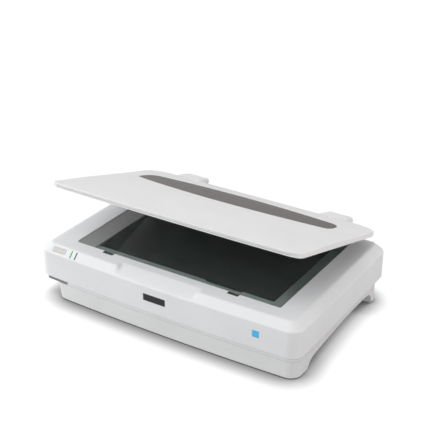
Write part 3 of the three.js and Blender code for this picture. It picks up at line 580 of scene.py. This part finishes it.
plastic("white_nylon", grey(0.78, (1.0, 0.99, 0.95)), 0.4, grain=1.4)
foam_skin("mat_foam", grey(0.84))
lit_lens("lamp", grey(0.9), 0.02)
circuit_board("circuit_board")
rubber("rubber", grey(0.025))
rubber("belt_rubber", grey(0.012), ribs=2.0)
# Painted shade: the lid's liner is white, and this dark grey stands in for the shade under the lid, darkening the
# deck and the glass's reflection.
plastic("liner_painted_shade", grey(0.3), 0.55, grain=1.2)
metal("steel", grey(0.5, (0.98, 1.0, 1.03)), 0.25)
metal("zinc", grey(0.36, (0.97, 1.0, 1.04)), 0.4, (1.0, 1.0, 1.0), 0.15)
metal("brass", (0.42, 0.22, 0.07, 1), 0.38, (1.0, 1.0, 6.0))
mirror_strip("mirror")


# ---- Upper case ----
SLOPE_FOOT = 111.0  # where the 45 degree front slope would meet the wall
SLOPE_RUN = DECK_Z - SLOPE_FOOT
SIDE_SCALE = 1.23  # the sides slope further in than the front
GRIP = Sizes(left=-116.0, right=94.0, back=27.0, lip_y=-5.0, lip_z=113.0, softness=0.9)
FRONT_STEPS = 230
SLOPE_STEPS = 10
DECK_MARGIN = 24.0  # a strip of deck that is finely divided, for the grip
DECK_STEP = 1.5
SOCKET = Sizes(half=38.0, front=CASE_DEPTH - WALL - 2, back=449.0, bottom=54.0, slot_bottom=60.0)
SLOT_HALF = (22.5, 6.5)


def grip_depth(point):
    """The deck and slope, pressed down onto the sloping face of the grip."""
    slope = (DECK_Z - GRIP.lip_z) / (GRIP.back - GRIP.lip_y)
    face = DECK_Z + (point.y - GRIP.back) * slope
    pressed = (point.z + face - math.sqrt((point.z - face) ** 2 + GRIP.softness ** 2)) / 2
    share = smoothstep(GRIP.left - 2, GRIP.left + 9, point.x)
    share *= 1 - smoothstep(GRIP.right - 16, GRIP.right + 2, point.x)
    if point.y > GRIP.back + 5 or point.z < GRIP.lip_z - 4:
        return point
    return Vector((point.x, point.y, point.z + share * (min(pressed, point.z) - point.z)))


def case_body():
    """The case's outside: a wall, a sloped edge and a flat deck, with the grip pressed in."""
    profile = fillet([(WALL, SEAM_Z + 0.2, 0), (0, SEAM_Z + 0.2, 1.0), (0, SLOPE_FOOT, 6.0),
                      (SLOPE_RUN, DECK_Z, 8.0), (DECK_MARGIN, DECK_Z, 0)], steps=8)
    fine = []
    for start, end in zip(profile, profile[1:]):
        on_slope = start.y > SLOPE_FOOT and end.y - start.y > 4
        steps = SLOPE_STEPS if on_slope else 1
        fine += [start.lerp(end, step / steps) for step in range(steps)]
    fine += [Vector((DECK_MARGIN + DECK_STEP * step, DECK_Z)) for step in range(9)]
    rings = []
    for p in fine:
        ring = level(outline(CASE, p.x * SIDE_SCALE, p.x, (FRONT_STEPS, 1, 1, 1), 14), p.y)
        rings.append([grip_depth(point) for point in ring])
    return loft(rings)


def case_room():
    """The hollow of the case, leaving the glass ledge and the backing of the grip."""
    room = loft([level(outline(CASE, WALL), SEAM_Z - 1), level(outline(CASE, WALL), SLOPE_FOOT - 2),
                 level(outline(CASE, 21, 20), DECK_Z - WALL)])
    ledge = block(OPENING.left - 6, OPENING.right + 6, OPENING.front - 12, OPENING.back + 6,
                  LEDGE_BOTTOM, DECK_Z)
    backing = block(GRIP.left - 8, GRIP.right + 8, -10, GRIP.back + 8, 106, DECK_Z)
    return cut(room, ledge, backing)


def slope_place(x):
    """The frame of a piece that lies on the front slope, its outer face towards local +Z."""
    return mm_matrix(x, SLOPE_Y - bow_at(x), SLOPE_Z) @ Matrix.Rotation(SLOPE_ANGLE, 4, "X")


def local_block(width, height, low, high, corner, edge):
    """A rounded rectangle block about the origin, its outer face filleted."""
    area = Sizes(left=-width / 2, right=width / 2, front=-height / 2, back=height / 2,
                 radii=(corner,) * 4)
    brim = min(corner, min(width, height) / 2 - 0.3)
    profile = fillet([(0, low, 0), (0, high, edge), (brim, high, 0)], steps=5)
    made = loft([level(outline(area, p.x, bow=False, corner_steps=6), p.y) for p in profile])
    return moved(made, mm_matrix(0, 0, 0).inverted())


def front_patch(area, depth, stand, margin=0.0):
    """A plate that follows the bow of the front, between stand outside and depth inside the wall."""
    steps = 14
    low, high = area.bottom - margin, area.top + margin
    rings = []
    for step in range(steps + 1):
        x = area.left - margin + (area.right - area.left + 2 * margin) * step / steps
        front = -bow_at(x) - stand
        back = -bow_at(x) + depth
        corners = ((back, low), (front, low), (front, high), (back, high))
        rings.append([Vector((x, *corner)) for corner in corners])
    return loft(rings)


PORT_NODES = ("power_inlet", "usb_port", "option_port")
PORT_HOLE_FRONT = 405.0  # inside the back wall
CATCH_NODES = ("mat_catch_left", "mat_catch_right")
KEY = Sizes(height=11.0, low=-5.2, high=0.8, corner=2.2, edge=0.9)
LENS = Sizes(height=17.0, low=-3.7, high=0.3, corner=1.25, edge=0.7)
BADGE_DEPTH = 1.6
LABEL_DEPTH = 1.0
OUTSIDE, INSIDE, LEDGE = range(3)  # the case's materials
badge = span("badge_plate")
label = span("blue_label")
button = span("start_button")
lamps = [span("ready_light"), span("error_light")]


def middle_x(area):
    return (area.left + area.right) / 2


def hinge_socket(x):
    """A housing behind the case that a hinge post slides in."""
    housing = Sizes(left=x - SOCKET.half, right=x + SOCKET.half, front=SOCKET.front,
                    back=SOCKET.back, radii=(1.5, 1.5, 6.0, 6.0))
    profile = fillet([(0, SOCKET.bottom, 0), (0, DECK_Z, 2.0), (4, DECK_Z, 0)], steps=4)
    body = loft([level(outline(housing, p.x, bow=False), p.y) for p in profile])
    hollows = []
    for side in (-1, 1):
        edges = sorted((x + side * (SLOT_HALF[0] + WALL), x + side * (SOCKET.half - WALL)))
        hollows.append(block(*edges, CASE_DEPTH + WALL, SOCKET.back - WALL, SOCKET.bottom - 1,
                             DECK_Z - WALL))
    return cut(body, *hollows)


def case_paint(shell):
    """Sets which faces of the case are its white outside, its dark inside or the glass ledge."""
    middle = Vector((0, (CASE_DEPTH / 2 + FRONT_Y) * MM, (SEAM_Z + 30) * MM))
    for face in shell.data.polygons:
        centre = face.center
        x, y, z = centre.x / MM, centre.y / MM - FRONT_Y, centre.z / MM
        in_opening = OPENING.left - 1 < x < OPENING.right + 1 and OPENING.front - 1 < y < OPENING.back + 1
        in_case = abs(x) < HALF_WIDTH - 1 and -6 < y < CASE_DEPTH - 1
        faces_inward = face.normal.dot(centre - middle) < 0
        beside_glass = in_opening and z > glass.bottom
        if in_opening and LEDGE_BOTTOM - 1 < z < glass.bottom + 0.5:
            face.material_index = LEDGE
        elif z < DECK_Z - 2 and in_case and faces_inward and not beside_glass:
            face.material_index = INSIDE
        else:
            face.material_index = OUTSIDE


def bed_holes():
    """Cutters for the glass, the aperture under it, the catches and the seal."""
    holes = [flared(OPENING, glass.bottom, DECK_Z, 1.5),
             upright(outline(APERTURE, bow=False), LEDGE_BOTTOM - 1, DECK_Z)]
    for node in CATCH_NODES:
        catch = span(node)
        holes.append(block(catch.left - GAP, catch.right + GAP, catch.front - GAP, catch.back + 4,
                           catch.bottom - 0.1, DECK_Z + 1))
    holes.append(block(CLIP.left - GAP, CLIP.right + GAP, CLIP.front - GAP, APERTURE.front + 1,
                       CLIP.bottom - 0.05, glass.bottom + 0.1))
    return holes


def post_holes():
    """Cutters for the slots that the hinge posts slide in."""
    holes = []
    for side in (-1, 1):
        x = side * HINGE_X
        mouth = Sizes(left=x - SLOT_HALF[0], right=x + SLOT_HALF[0], front=HINGE_Y - SLOT_HALF[1],
                      back=HINGE_Y + SLOT_HALF[1], radii=(1.0,) * 4)
        holes.append(flared(mouth, SOCKET.slot_bottom, DECK_Z, 0.5))
    return holes


def front_holes():
    """Cutters for the button, the lamps, the badge and the label."""
    holes = []
    for area in (button, *lamps):
        width = area.right - area.left + 2 * GAP
        height = (KEY.height if area is button else LENS.height) + 2 * GAP
        pocket = local_block(width, height, -12, 6, min(width / 2 - 0.1, 2.4), 0.1)
        holes.append(moved(pocket, slope_place(middle_x(area))))
    holes.append(front_patch(badge, BADGE_DEPTH + GAP, 4, GAP))
    holes.append(front_patch(label, LABEL_DEPTH + GAP, 4, GAP))
    return holes


def port_holes():
    """Cutters for the sockets in the back wall."""
    return [block(port.left - GAP, port.right + GAP, PORT_HOLE_FRONT, CASE_DEPTH + 3,
                  port.bottom - GAP, port.top + GAP) for port in (span(node) for node in PORT_NODES)]


def case_shell():
    sockets = [hinge_socket(side * HINGE_X) for side in (-1, 1)]
    shell = cut(case_body(), case_room())
    shell = join(shell, *sockets)
    shell = cut(shell, *bed_holes(), *post_holes(), *front_holes(), *port_holes())
    case_paint(shell)
    shade(shell)
    piece(shell, "case_shell", "base", "case_white", "upper_case", ("case_white", "case_inside", "ledge"))


# ---- Lower shell ----
ARCH_LINE = ((48, -8), (48, 0), (53, 9), (60, 19), (74, 25.5), (100, 28.5), (150, 33), (215, 37.5),
             (285, 38), (325, 35), (341, 26), (348, 12), (351, 0), (351, -8))
ARCH_X = 273.0
BASE_BOTTOM = FOOT_Z - 1.4  # the shell hangs down round its feet
GROOVE = Sizes(bottom=41.9, top=42.6, depth=0.8)  # the line under the shell's top band
BASE_TOP = SEAM_Z - 0.15
switch = span("power_switch")
SWITCH_TRAVEL = joint("power_switch_press")["range_m"][1] / MM
lock = span("transport_lock")
RAIL_DEPTH = 4.9  # the rail's web lies this far above its lower edges
RAIL_POST_X = (-245, 255)
RAIL_POST_Y = 74


def base_area(z):
    """The shell's outline at a height: it spreads a little from the floor to the seam."""
    t = min(max((z - FOOT_Z - 6) / (SEAM_Z - FOOT_Z - 6), 0.0), 1.0)
    sides = {key: getattr(BASE_FLOOR, key) + t * (getattr(BASE_SEAM, key) - getattr(BASE_FLOOR, key))
             for key in ("left", "right", "front", "back")}
    radii = tuple(a + t * (b - a) for a, b in zip(BASE_FLOOR.radii, BASE_SEAM.radii))
    return Sizes(**sides, radii=radii)


def base_body():
    profile = fillet([(6, BASE_BOTTOM, 0), (0, BASE_BOTTOM, 3.0), (0, GROOVE.bottom, 0),
                      (GROOVE.depth, GROOVE.bottom, 0), (GROOVE.depth, GROOVE.top, 0), (0, GROOVE.top, 0),
                      (0, BASE_TOP, 0.5), (3, BASE_TOP, 0)], steps=5)
    along = (FRONT_STEPS // 3, 1, 1, 1)
    return loft([level(outline(base_area(p.y), p.x, along=along), p.y) for p in profile])


def arch(spread, lift, from_x):
    """A cutter for the arch under the right side, opened out by spread and lift."""
    line = [Vector((y - spread if y < 200 else y + spread, z + lift)) for y, z in ARCH_LINE]
    return prism_along_x(smooth_line(line), from_x, HALF_WIDTH + 20)


def base_room():
    """The hollow of the shell, kept clear of the arch."""
    room = loft([level(outline(base_area(FLOOR_Z), WALL), FLOOR_Z),
                 level(outline(base_area(SEAM_Z), WALL), FLANGE_Z + 1)])
    return cut(room, arch(WALL, WALL, ARCH_X - WALL))


def base_posts():
    """Posts that carry the front rail and the two boards."""
    rail_seat = span("front_rail").bottom + RAIL_DEPTH
    posts = [rod("z", 6, FLOOR_Z - 1, rail_seat, (x, RAIL_POST_Y), 24) for x in RAIL_POST_X]
    inset = 8
    for node in ("main_board", "power_supply_board"):
        board = span(node)
        posts += [rod("z", 3.5, FLOOR_Z - 1, board.bottom - GAP, (x, y), 16)
                  for x in (board.left + inset, board.right - inset)
                  for y in (board.front + inset, board.back - inset)]
    return posts


def base_shell():
    flange = upright(outline(CASE, WALL + GAP), BASE_TOP, FLANGE_Z)
    shell = join(base_body(), flange)
    recess = block(switch.left - GAP, switch.right + GAP, -10, switch.back + SWITCH_TRAVEL + GAP,
                   switch.bottom - GAP, SEAM_Z - 0.1)
    bore = rod("x", (lock.top - lock.bottom) / 2 + GAP, -300, -270,
               ((lock.front + lock.back) / 2, (lock.top + lock.bottom) / 2), 48)
    shell = cut(shell, base_room(), arch(0, 0, ARCH_X), recess, bore)
    shell = join(shell, *base_posts())
    shade(shell)
    piece(shell, "base_shell", "base", "base_white", "lower_shell")


def power_key():
    """The key keeps the line of the case's corner above it, with softened edges."""
    form = upright(outline(CASE, 1.2, along=(FRONT_STEPS, 1, 1, 1)), switch.bottom, switch.top)
    key = common(form, block(switch.left, switch.right, -10, switch.back,
                             switch.bottom - 1, switch.top + 1))
    rounded_off(key, 0.6, 3, 50, 50)
    piece(key, "power_key", "power_switch", "smoke_plastic", "power_switch")


# ---- Pieces let into the case ----
def bed_slab(area, top, edge, front_left=2.0):
    """A thin plate with softened edges, lying on the ledge."""
    profile = fillet([(0.6, glass.bottom, 0), (0, glass.bottom, 0.3), (0, top, edge), (3, top, 0)], steps=3)
    corner = Sizes(left=area.left, right=area.right, front=area.front, back=area.back,
                   radii=(front_left, 2.0, 2.0, 2.0))
    return loft([level(outline(corner, p.x, bow=False, corner_steps=8), p.y) for p in profile])


def bed():
    pane = shade(bed_slab(glass, glass.top, 0.5))
    piece(pane, "glass_pane", "base", "glass", "platen_glass")
    border = shade(bed_slab(strip, strip.top, 0.4, OPENING.radii[0] - GAP))
    piece(border, "side_strip", "base", "grey_strip", "border_strip")


def bed_clip():
    """A black bar let into the front ledge under the glass, with a clip on its end."""
    back = APERTURE.front
    low = CLIP.top - CLIP.thickness
    black_bar = block(CLIP.left, CLIP.right, CLIP.front, back + 1, CLIP.bottom, CLIP.top)
    body = block(CLIP.right - 14, CLIP.right + 2, back + 0.5, back + 8, low, CLIP.top)
    tongue = block(CLIP.right - 9, CLIP.right, back + 7, back + 16, low, CLIP.top)
    bar = join(black_bar, body, tongue)
    piece(rounded_off(bar, 0.15), "bed_clip", "base", "black_plastic")


def catch_tab(node):
    """A dark plate that fills its notch almost to the deck, with a shallow finger dish; its dark colour is partly
    painted shade for the recessed pocket.
    """
    area = span(node)
    tab = block(area.left, area.right, area.front, area.back, area.bottom, area.top)
    side_rim = 3
    front_rim = 2.5
    depth = 1
    dish = block(area.left + side_rim, area.right - side_rim, area.front + front_rim, area.back + 1,
                 area.top - depth, area.top + 1)
    tab = rounded_off(cut(tab, dish), 0.5, 3)
    # The dark plastic is partly the catch's own colour and partly painted shade for the pocket it sits in.
    piece(tab, node + "_tab", "base", "dark_plastic", node)


def start_key():
    """A key that stands a little proud of the slope."""
    key = local_block(button.right - button.left, **vars(KEY))
    shade(moved(key, slope_place(middle_x(button))), 50)
    piece(key, "start_key", "start_button", "beige_plastic", "start_button")


def lamp_lens(area, name, slot, node):
    """A narrow lens that lies down the slope."""
    lens = local_block(area.right - area.left, **vars(LENS))
    shade(moved(lens, slope_place(middle_x(area))), 50)
    piece(lens, name, "base", slot, node)


def front_plate(area, name, slot, node, depth, stand):
    """A thin blank plate let into the bowed front."""
    plate = rounded_off(front_patch(area, depth, stand), 0.5, 3, 50, 40)
    piece(plate, name, "base", slot, node)


def foot(node):
    """A round pad with a ring sunk into its sole."""
    area = span(node)
    centre = (middle_x(area), (area.front + area.back) / 2)
    radius = (area.right - area.left) / 2
    axis = 0.05
    ring_inner, ring_outer, ring_depth = 3.6, 5.0, 0.7
    profile = fillet([(axis, 0, 0), (ring_inner, 0, 0), (ring_inner, ring_depth, 0),
                      (ring_outer, ring_depth, 0), (ring_outer, 0, 0), (radius, 0, 0.6),
                      (radius, area.top, 0.8), (axis, area.top, 0)], steps=4)
    pad = shade(lathe(profile, centre), 40)
    piece(pad, node + "_pad", "base", "rubber", node)


# ---- Lid ----
LID_STEPS = (110, 60, 90, 60)
LOWER_EDGE = 2.2  # radius under the rim
LIP_HEIGHT = 4.4  # of the upright lip along the front edge
UNDERCUT = 3.6  # how far the front face leans back down to its lip
SIDE_FALL = 3.0  # how far the crown drops at the sides behind the middle
SIDE_FALL_Y = 120.0  # where that drop starts
CROWN_RINGS = 29
PANEL = Sizes(tip_x=251.0, end_x=241.0, end_y=258.0, back_y=324.0, front_y=204.0, depth=2.2)
PANEL_FRONT_STEPS = 90
PANEL_END_STEPS = 16
PANEL_CUTTER_Z = (120, 180)


def lid_top(x, y):
    """Height of the lid's crowned top above the table when the lid is closed."""
    along = max(0.0, 1 - (x / LID.right) ** 2)
    across = max(0.0, 1 - ((y - LID_MIDDLE_Y) / LID_HALF_DEPTH) ** 2)
    back = (y - LID.front) / (LID.back - LID.front)
    fall = SIDE_FALL * smoothstep(PANEL.tip_x, LID.right, abs(x)) * smoothstep(SIDE_FALL_Y, PANEL.back_y, y)
    return RIM_FRONT_Z + RIM_RISE * back + CROWN * along * across - fall


def front_share(point):
    """1 on the lid's front edge, falling to 0 round its front corners."""
    return 1 - smoothstep(2.0, 14.0, point.y - LID.front + bow_at(point.x))


def lid_form(inset, drop, bottom, edge=1.8):
    """The lid's solid form: inset from its outline, its top lowered by drop."""
    lower = fillet([(6, bottom, 0), (0, bottom, LOWER_EDGE), (0, bottom + 6, 0)], steps=5)[:-1]
    lower.append(Vector((0, bottom + LIP_HEIGHT)))
    rings = []
    for p in lower:
        ring = outline(LID, inset + p.x, along=LID_STEPS)
        rings.append([Vector((q.x, q.y + UNDERCUT * front_share(q), p.y)) for q in ring])
    edge_steps = 5
    for step in range(edge_steps + 1):
        turn = math.pi / 2 * step / edge_steps
        inner = edge * (1 - math.cos(turn))
        lift = edge * (math.sin(turn) - 1)
        ring = outline(LID, inset + inner, along=LID_STEPS)
        rings.append([Vector((p.x, p.y, lid_top(p.x, p.y) - drop + lift)) for p in ring])
    shoulder = outline(LID, inset + edge, along=LID_STEPS)
    for step in range(1, CROWN_RINGS + 1):
        scale = 1 - step / (CROWN_RINGS + 0.3)
        ring = [Vector((p.x * scale, LID_MIDDLE_Y + (p.y - LID_MIDDLE_Y) * scale)) for p in shoulder]
        rings.append([Vector((p.x, p.y, lid_top(p.x, p.y) - drop)) for p in ring])
    return loft(rings)


def bezier(start, control, end, steps):
    """Points along a quadratic curve, without its last one."""
    for step in range(steps):
        t = step / steps
        yield start * (1 - t) ** 2 + control * 2 * t * (1 - t) + end * t ** 2


def panel_prism(margin):
    """The inlay's upright prism: a curved front, a straight back and blunt rounded ends."""
    tip = PANEL.tip_x + margin
    back = PANEL.back_y + margin
    end = Vector((PANEL.end_x, PANEL.end_y - margin))
    control_y = 2 * (PANEL.front_y - margin) - end.y
    front_slope = (end.y - control_y) / end.x
    low_corner = Vector((tip, end.y + (tip - end.x) * front_slope))
    widest = Vector((tip, end.y + 30))
    high_corner = Vector((tip - 2, back))
    back_end = Vector((tip - 26, back))
    front = bezier(Vector((-end.x, end.y)), Vector((0, control_y)), end, PANEL_FRONT_STEPS)
    right_end = [*bezier(end, low_corner, widest, PANEL_END_STEPS),
                 *bezier(widest, high_corner, back_end, PANEL_END_STEPS), back_end]
    left_end = [Vector((-p.x, p.y)) for p in reversed(right_end[1:])]
    points = [*front, *right_end, *left_end]
    return upright(points, *PANEL_CUTTER_Z)


ARM_HALF = 17.5
ARM_TOP = 139.5


def arm_notches(front, top):
    """Cutters that let the hinge arms in under the lid."""
    return [block(side * HINGE_X - ARM_HALF - 0.5, side * HINGE_X + ARM_HALF + 0.5, front, LID.back + 5,
                  LID_UNDERSIDE - 10, top) for side in (-1, 1)]


def lid_shell():
    below_recess = lid_form(inset=-6, drop=PANEL.depth, bottom=100)
    recess = cut(panel_prism(0.4), below_recess)
    room = lid_form(inset=LID_WALL, drop=6, bottom=LID_UNDERSIDE - 3)
    shell = cut(lid_form(inset=0, drop=0, bottom=LID_UNDERSIDE), room, recess,
                *arm_notches(LID.back - 12, ARM_TOP + 4))
    shade(turn_lid(shell), 28)
    piece(shell, "lid_shell", "lid", "lid_white", "lid_cover")


def lid_inlay():
    inlay = common(panel_prism(0), lid_form(inset=-3, drop=0.2, bottom=110))
    inlay = cut(inlay, lid_form(inset=-6, drop=PANEL.depth - GAP, bottom=100))
    soften(inlay, 0.7, 3, 55)
    apply_modifiers(inlay)
    shade(turn_lid(inlay), 28)
    piece(inlay, "lid_inlay", "lid", "taupe_plastic", "lid_panel")


LINER_STEPS = (40, 1, 1, 1)
LINER_SCREWS = ((-284, 110), (-284, 300), (0, 30), (0, 389), (284, 110), (284, 300))


def liner_channel():
    """A cutter for the narrow groove that runs round the plate."""
    outer, inner = (outline(LID, inset, along=LINER_STEPS) for inset in (14, 16))
    return cut(upright(outer, LID_UNDERSIDE - 1, LID_UNDERSIDE + 0.8),
               upright(inner, LID_UNDERSIDE - 2, LID_UNDERSIDE + 2))


def lid_liner():
    """The plate under the lid, with a groove round it and sunk screw holes; its grey is painted shade on what is a
    white plate.
    """
    inset = LID_WALL + 1
    top = LID_UNDERSIDE + 2.5
    area = Sizes(**{**vars(LID), "front": LID.front + UNDERCUT})
    profile = fillet([(3, LID_UNDERSIDE, 0), (0, LID_UNDERSIDE, 0.7), (0, top, 0.5), (3, top, 0)], steps=3)
    plate = loft([level(outline(area, inset + p.x, along=LINER_STEPS), p.y) for p in profile])
    screws = [rod("z", 3.4, LID_UNDERSIDE - 1, LID_UNDERSIDE + 1.2, place, 24) for place in LINER_SCREWS]
    plate = cut(plate, liner_channel(), *screws, *arm_notches(LID.back - 14, 150))
    shade(turn_lid(plate))
    piece(plate, "liner_plate", "lid", "lid_white", "lid_liner", ("liner_painted_shade",))


MAT = Sizes(left=-250.0, right=254.0, front=53.0, back=380.0, radii=(7.0,) * 4)
MAT_THICKNESS = 5.7


def mat_edge():
    """Rings round the mat's rounded edge, from its lower to its upper face."""
    top = LID_UNDERSIDE - GAP
    steps = 10
    rings = []
    for step in range(steps + 1):
        turn = math.pi * step / steps
        inset = 0.4 + MAT_THICKNESS / 2 * (1 - math.sin(turn)) * 0.8
        z = top - MAT_THICKNESS / 2 - MAT_THICKNESS / 2 * math.cos(turn) * 0.98
        rings.append(level(outline(MAT, inset, along=(60, 40, 60, 40), bow=False, corner_steps=6), z))
    return rings


def mat_face(edge, side):
    """Rings that close a face: set in at its edge, then swelling. The lower side is 1, the upper -1."""
    centre = Vector((middle_x(MAT), (MAT.front + MAT.back) / 2))
    rings = []
    for scale in (0.985, 0.95, 0.85, 0.7, 0.5, 0.3, 0.1):
        swell = 0.35 * (1 - scale) ** 0.5
        rings.append([Vector((centre.x + (p.x - centre.x) * scale, centre.y + (p.y - centre.y) * scale,
                              p.z + side * 0.5 - side * swell)) for p in edge])
    return rings


def soft_mat():
    """A foam mat in a white film: rounded, slightly pulled-in edges and a gently crowned face."""
    edge = mat_edge()
    mat = loft([*reversed(mat_face(edge[0], 1)), *edge, *mat_face(edge[-1], -1)])
    for vertex in mat.data.vertices:
        x, y = vertex.co.x / MM, vertex.co.y / MM
        vertex.co.z += 0.12 * MM * math.sin(x / 41 + 1.3) * math.cos(y / 37)
    shade(turn_lid(mat), 60)
    piece(mat, "soft_mat", "lid", "mat_foam", "document_mat")


HOOD_FRONT = LID.back + GAP
HOOD_BOTTOM = 133.6
HOOD_FRONT_TOP = 148.6
HOOD_SINK = 3.4  # how far the top dips over the hinge
HOOD_HALF = (span("hinge_cover_right").right - span("hinge_cover_right").left) / 2
HOOD_END_RADIUS = 9.0
HOOD_END_STEPS = 8
HOOD_TAPER = 0.14  # the share of its width that a hood loses towards the back


def hood_profile(offset):
    """The hood's section in (y, z): flat below, round the hinge axis, then up to the lid."""
    radius = COVER_RADIUS - offset
    start = -0.6
    steps = 16
    arc = []
    for step in range(steps + 1):
        turn = start + (0.5 * math.pi - start) * step / steps
        lower = HOOD_SINK * smoothstep(0, math.pi / 2, turn)
        arc.append(Vector((HINGE_Y + radius * math.cos(turn), HINGE_Z + radius * math.sin(turn) - lower)))
    front = HOOD_FRONT + offset
    bottom = HOOD_BOTTOM + offset
    top = HOOD_FRONT_TOP - offset
    return [Vector((front, bottom)), Vector((HINGE_Y, bottom)), *arc, Vector((front, top))]


def hood_body(x):
    """A hood's outside, with soft ends, narrowing towards the back."""
    rounded = [-HOOD_HALF + HOOD_END_RADIUS * (1 - math.cos(math.pi / 2 * step / HOOD_END_STEPS))
               for step in range(HOOD_END_STEPS + 1)]
    rings = []
    for station in [*rounded, 0.0, *[-value for value in reversed(rounded)]]:
        depth_in = max(0.0, abs(station) - (HOOD_HALF - HOOD_END_RADIUS))
        shrink = HOOD_END_RADIUS - math.sqrt(max(HOOD_END_RADIUS ** 2 - depth_in ** 2, 0.0))
        ring = []
        for p in hood_profile(min(shrink, 6.0)):
            back = max(0.0, (p.x - HOOD_FRONT) / (HINGE_Y - HOOD_FRONT))
            ring.append(Vector((x + station * (1 - HOOD_TAPER * back), p.x, p.y)))
        rings.append(ring)
    return loft(rings)


def hood(side):
    """The hollow cover over one hinge."""
    x = side * HINGE_X
    inner_half = HOOD_HALF - 10.0
    left, right = x - inner_half + 2, x + inner_half - 2
    inner = prism_along_x(hood_profile(2.4), left, right)
    below = block(left, right, HOOD_FRONT - 1, HINGE_Y + 6, 120, HOOD_BOTTOM + 3)
    notch = block(x - 23, x + 23, HINGE_Y - 4, HINGE_Y + 30, 120, HINGE_Z + 4.5)
    cover = cut(hood_body(x), inner, below, notch)
    shade(turn_lid(cover), 35)
    name = "left" if side < 0 else "right"
    piece(cover, "hinge_hood_" + name, "lid", "lid_white", "hinge_cover_" + name)


# ---- CAD nodes that keep their shape ----
def dress(node, edge):
    """Gives a CAD node its material and rounds its edges."""
    kept = frame["nodes"][node]
    slot = next(part["material_slot"] for part in frame["record"]["subparts"] if part["node"] == node)
    kept.data.materials.clear()
    kept.data.materials.append(finish[slot])
    weld = kept.modifiers.new("weld", "WELD")
    weld.merge_threshold = 0.02 * MM
    soften(kept, edge)
    normals = kept.modifiers.new("normals", "WEIGHTED_NORMAL")
    normals.weight = 80


# The radius that each node's edges are rounded to
KEPT_EDGES = {
    0.1: ("calibration_strip",),
    0.15: ("drive_gear", "motor_pinion"),
    0.2: ("timing_belt", "first_mirror", "second_mirror", "third_mirror"),
    0.25: ("usb_port",),
    0.3: ("front_rail", "idler_pulley", "gear_axle", "main_board", "option_port", "shaft_bush_left",
          "shaft_bush_right", "sensor_board"),
    0.4: ("motor_bracket", "idler_bracket", "power_inlet", "belt_clamp", "hinge_arm_left",
          "hinge_arm_right", "hinge_pin_left", "hinge_pin_right"),
    0.5: ("transport_lock", "shaft_holder_left", "shaft_holder_right", "front_glide", "hinge_post_left",
          "hinge_post_right"),
    0.6: ("guide_shaft", "power_supply_board", "scan_lens", "lid_bumper_left", "lid_bumper_right"),
    0.7: ("carriage_housing",),
    0.8: ("stepper_motor",),
    1.2: ("light_bar",),
}


# ---- Build ----
case_shell()
base_shell()
power_key()
bed()
bed_clip()
for catch_node in CATCH_NODES:
    catch_tab(catch_node)
start_key()
lamp_lens(lamps[0], "ready_lens", "green_lens", "ready_light")
lamp_lens(lamps[1], "error_lens", "smoke_plastic", "error_light")
front_plate(badge, "badge_blank", "badge", "badge_plate", BADGE_DEPTH, 0.2)
front_plate(label, "label_blank", "blue_label", "blue_label", LABEL_DEPTH, 0.1)
for foot_node in ("foot_front_left", "foot_front_right", "foot_rear_left", "foot_rear_right"):
    foot(foot_node)
lid_shell()
lid_inlay()
lid_liner()
soft_mat()
hood(-1)
hood(1)
for kept_edge, kept_nodes in KEPT_EDGES.items():
    for kept_node in kept_nodes:
        dress(kept_node, kept_edge)


# ---- Floor, light and camera ----
def stage():
    """A floor far wider than the view, just under the table plane."""
    mesh = bpy.data.meshes.new("floor")
    reach = 9.0
    below = -0.0003
    mesh.from_pydata([(-reach, -reach, below), (reach, -reach, below), (reach, reach, below),
                      (-reach, reach, below)], [], [(0, 1, 2, 3)])
    floor_finish("floor")
    mesh.materials.append(finish["floor"])
    add_object("floor", mesh)


def studio_walls():
    """White surroundings: full white to the camera, and dimmer on the right for what they light."""
    world = bpy.data.worlds.new("studio")
    bpy.context.scene.world = world
    world.use_nodes = True
    nodes, links = world.node_tree.nodes, world.node_tree.links
    backdrop = nodes["Background"]
    backdrop.inputs["Color"].default_value = (1.0, 1.0, 1.0, 1)
    heading = nodes.new("ShaderNodeSeparateXYZ")
    links.new(nodes.new("ShaderNodeTexCoord").outputs["Generated"], heading.inputs["Vector"])
    fade = nodes.new("ShaderNodeMapRange")
    for key, value in (("From Min", -0.8), ("From Max", 0.8), ("To Min", 0.95), ("To Max", 0.36)):
        fade.inputs[key].default_value = value
    links.new(heading.outputs["X"], fade.inputs["Value"])
    seen = nodes.new("ShaderNodeMath")
    seen.operation = "MAXIMUM"
    links.new(fade.outputs["Result"], seen.inputs[0])
    links.new(nodes.new("ShaderNodeLightPath").outputs["Is Camera Ray"], seen.inputs[1])
    links.new(seen.outputs[0], backdrop.inputs["Strength"])


def overhead_light():
    """A wide, weak sun from above."""
    data = bpy.data.lights.new("key", "SUN")
    data.energy = 0.9
    data.angle = math.radians(45)
    add_object("key", data).rotation_euler = (math.radians(30), 0, math.radians(-20))


def soft_box(name, place, energy, colour):
    """A square light that faces the object."""
    data = bpy.data.lights.new(name, "AREA")
    data.energy = energy
    data.size = 1.2
    data.color = colour
    lamp = add_object(name, data)
    lamp.location = place
    lamp.rotation_euler = (-lamp.location).to_track_quat("-Z", "Y").to_euler()


def camera():
    data = bpy.data.cameras.new("camera")
    data.lens = 87.28
    data.clip_end = 40.0
    eye = add_object("camera", data)
    eye.location = (1.09306, -1.72763, 1.22684)
    eye.rotation_euler = (math.radians(90 - 26.9348), 0, math.radians(32.4146))
    bpy.context.scene.camera = eye


stage()
studio_walls()
overhead_light()
soft_box("front_left", (-1.6, -1.1, 0.75), 11.0, (0.98, 0.99, 1.0))
soft_box("right", (2.2, 0.1, 0.7), 14.5, (1.0, 0.93, 0.92))
camera()
bpy.context.scene.view_settings.view_transform = "Standard"
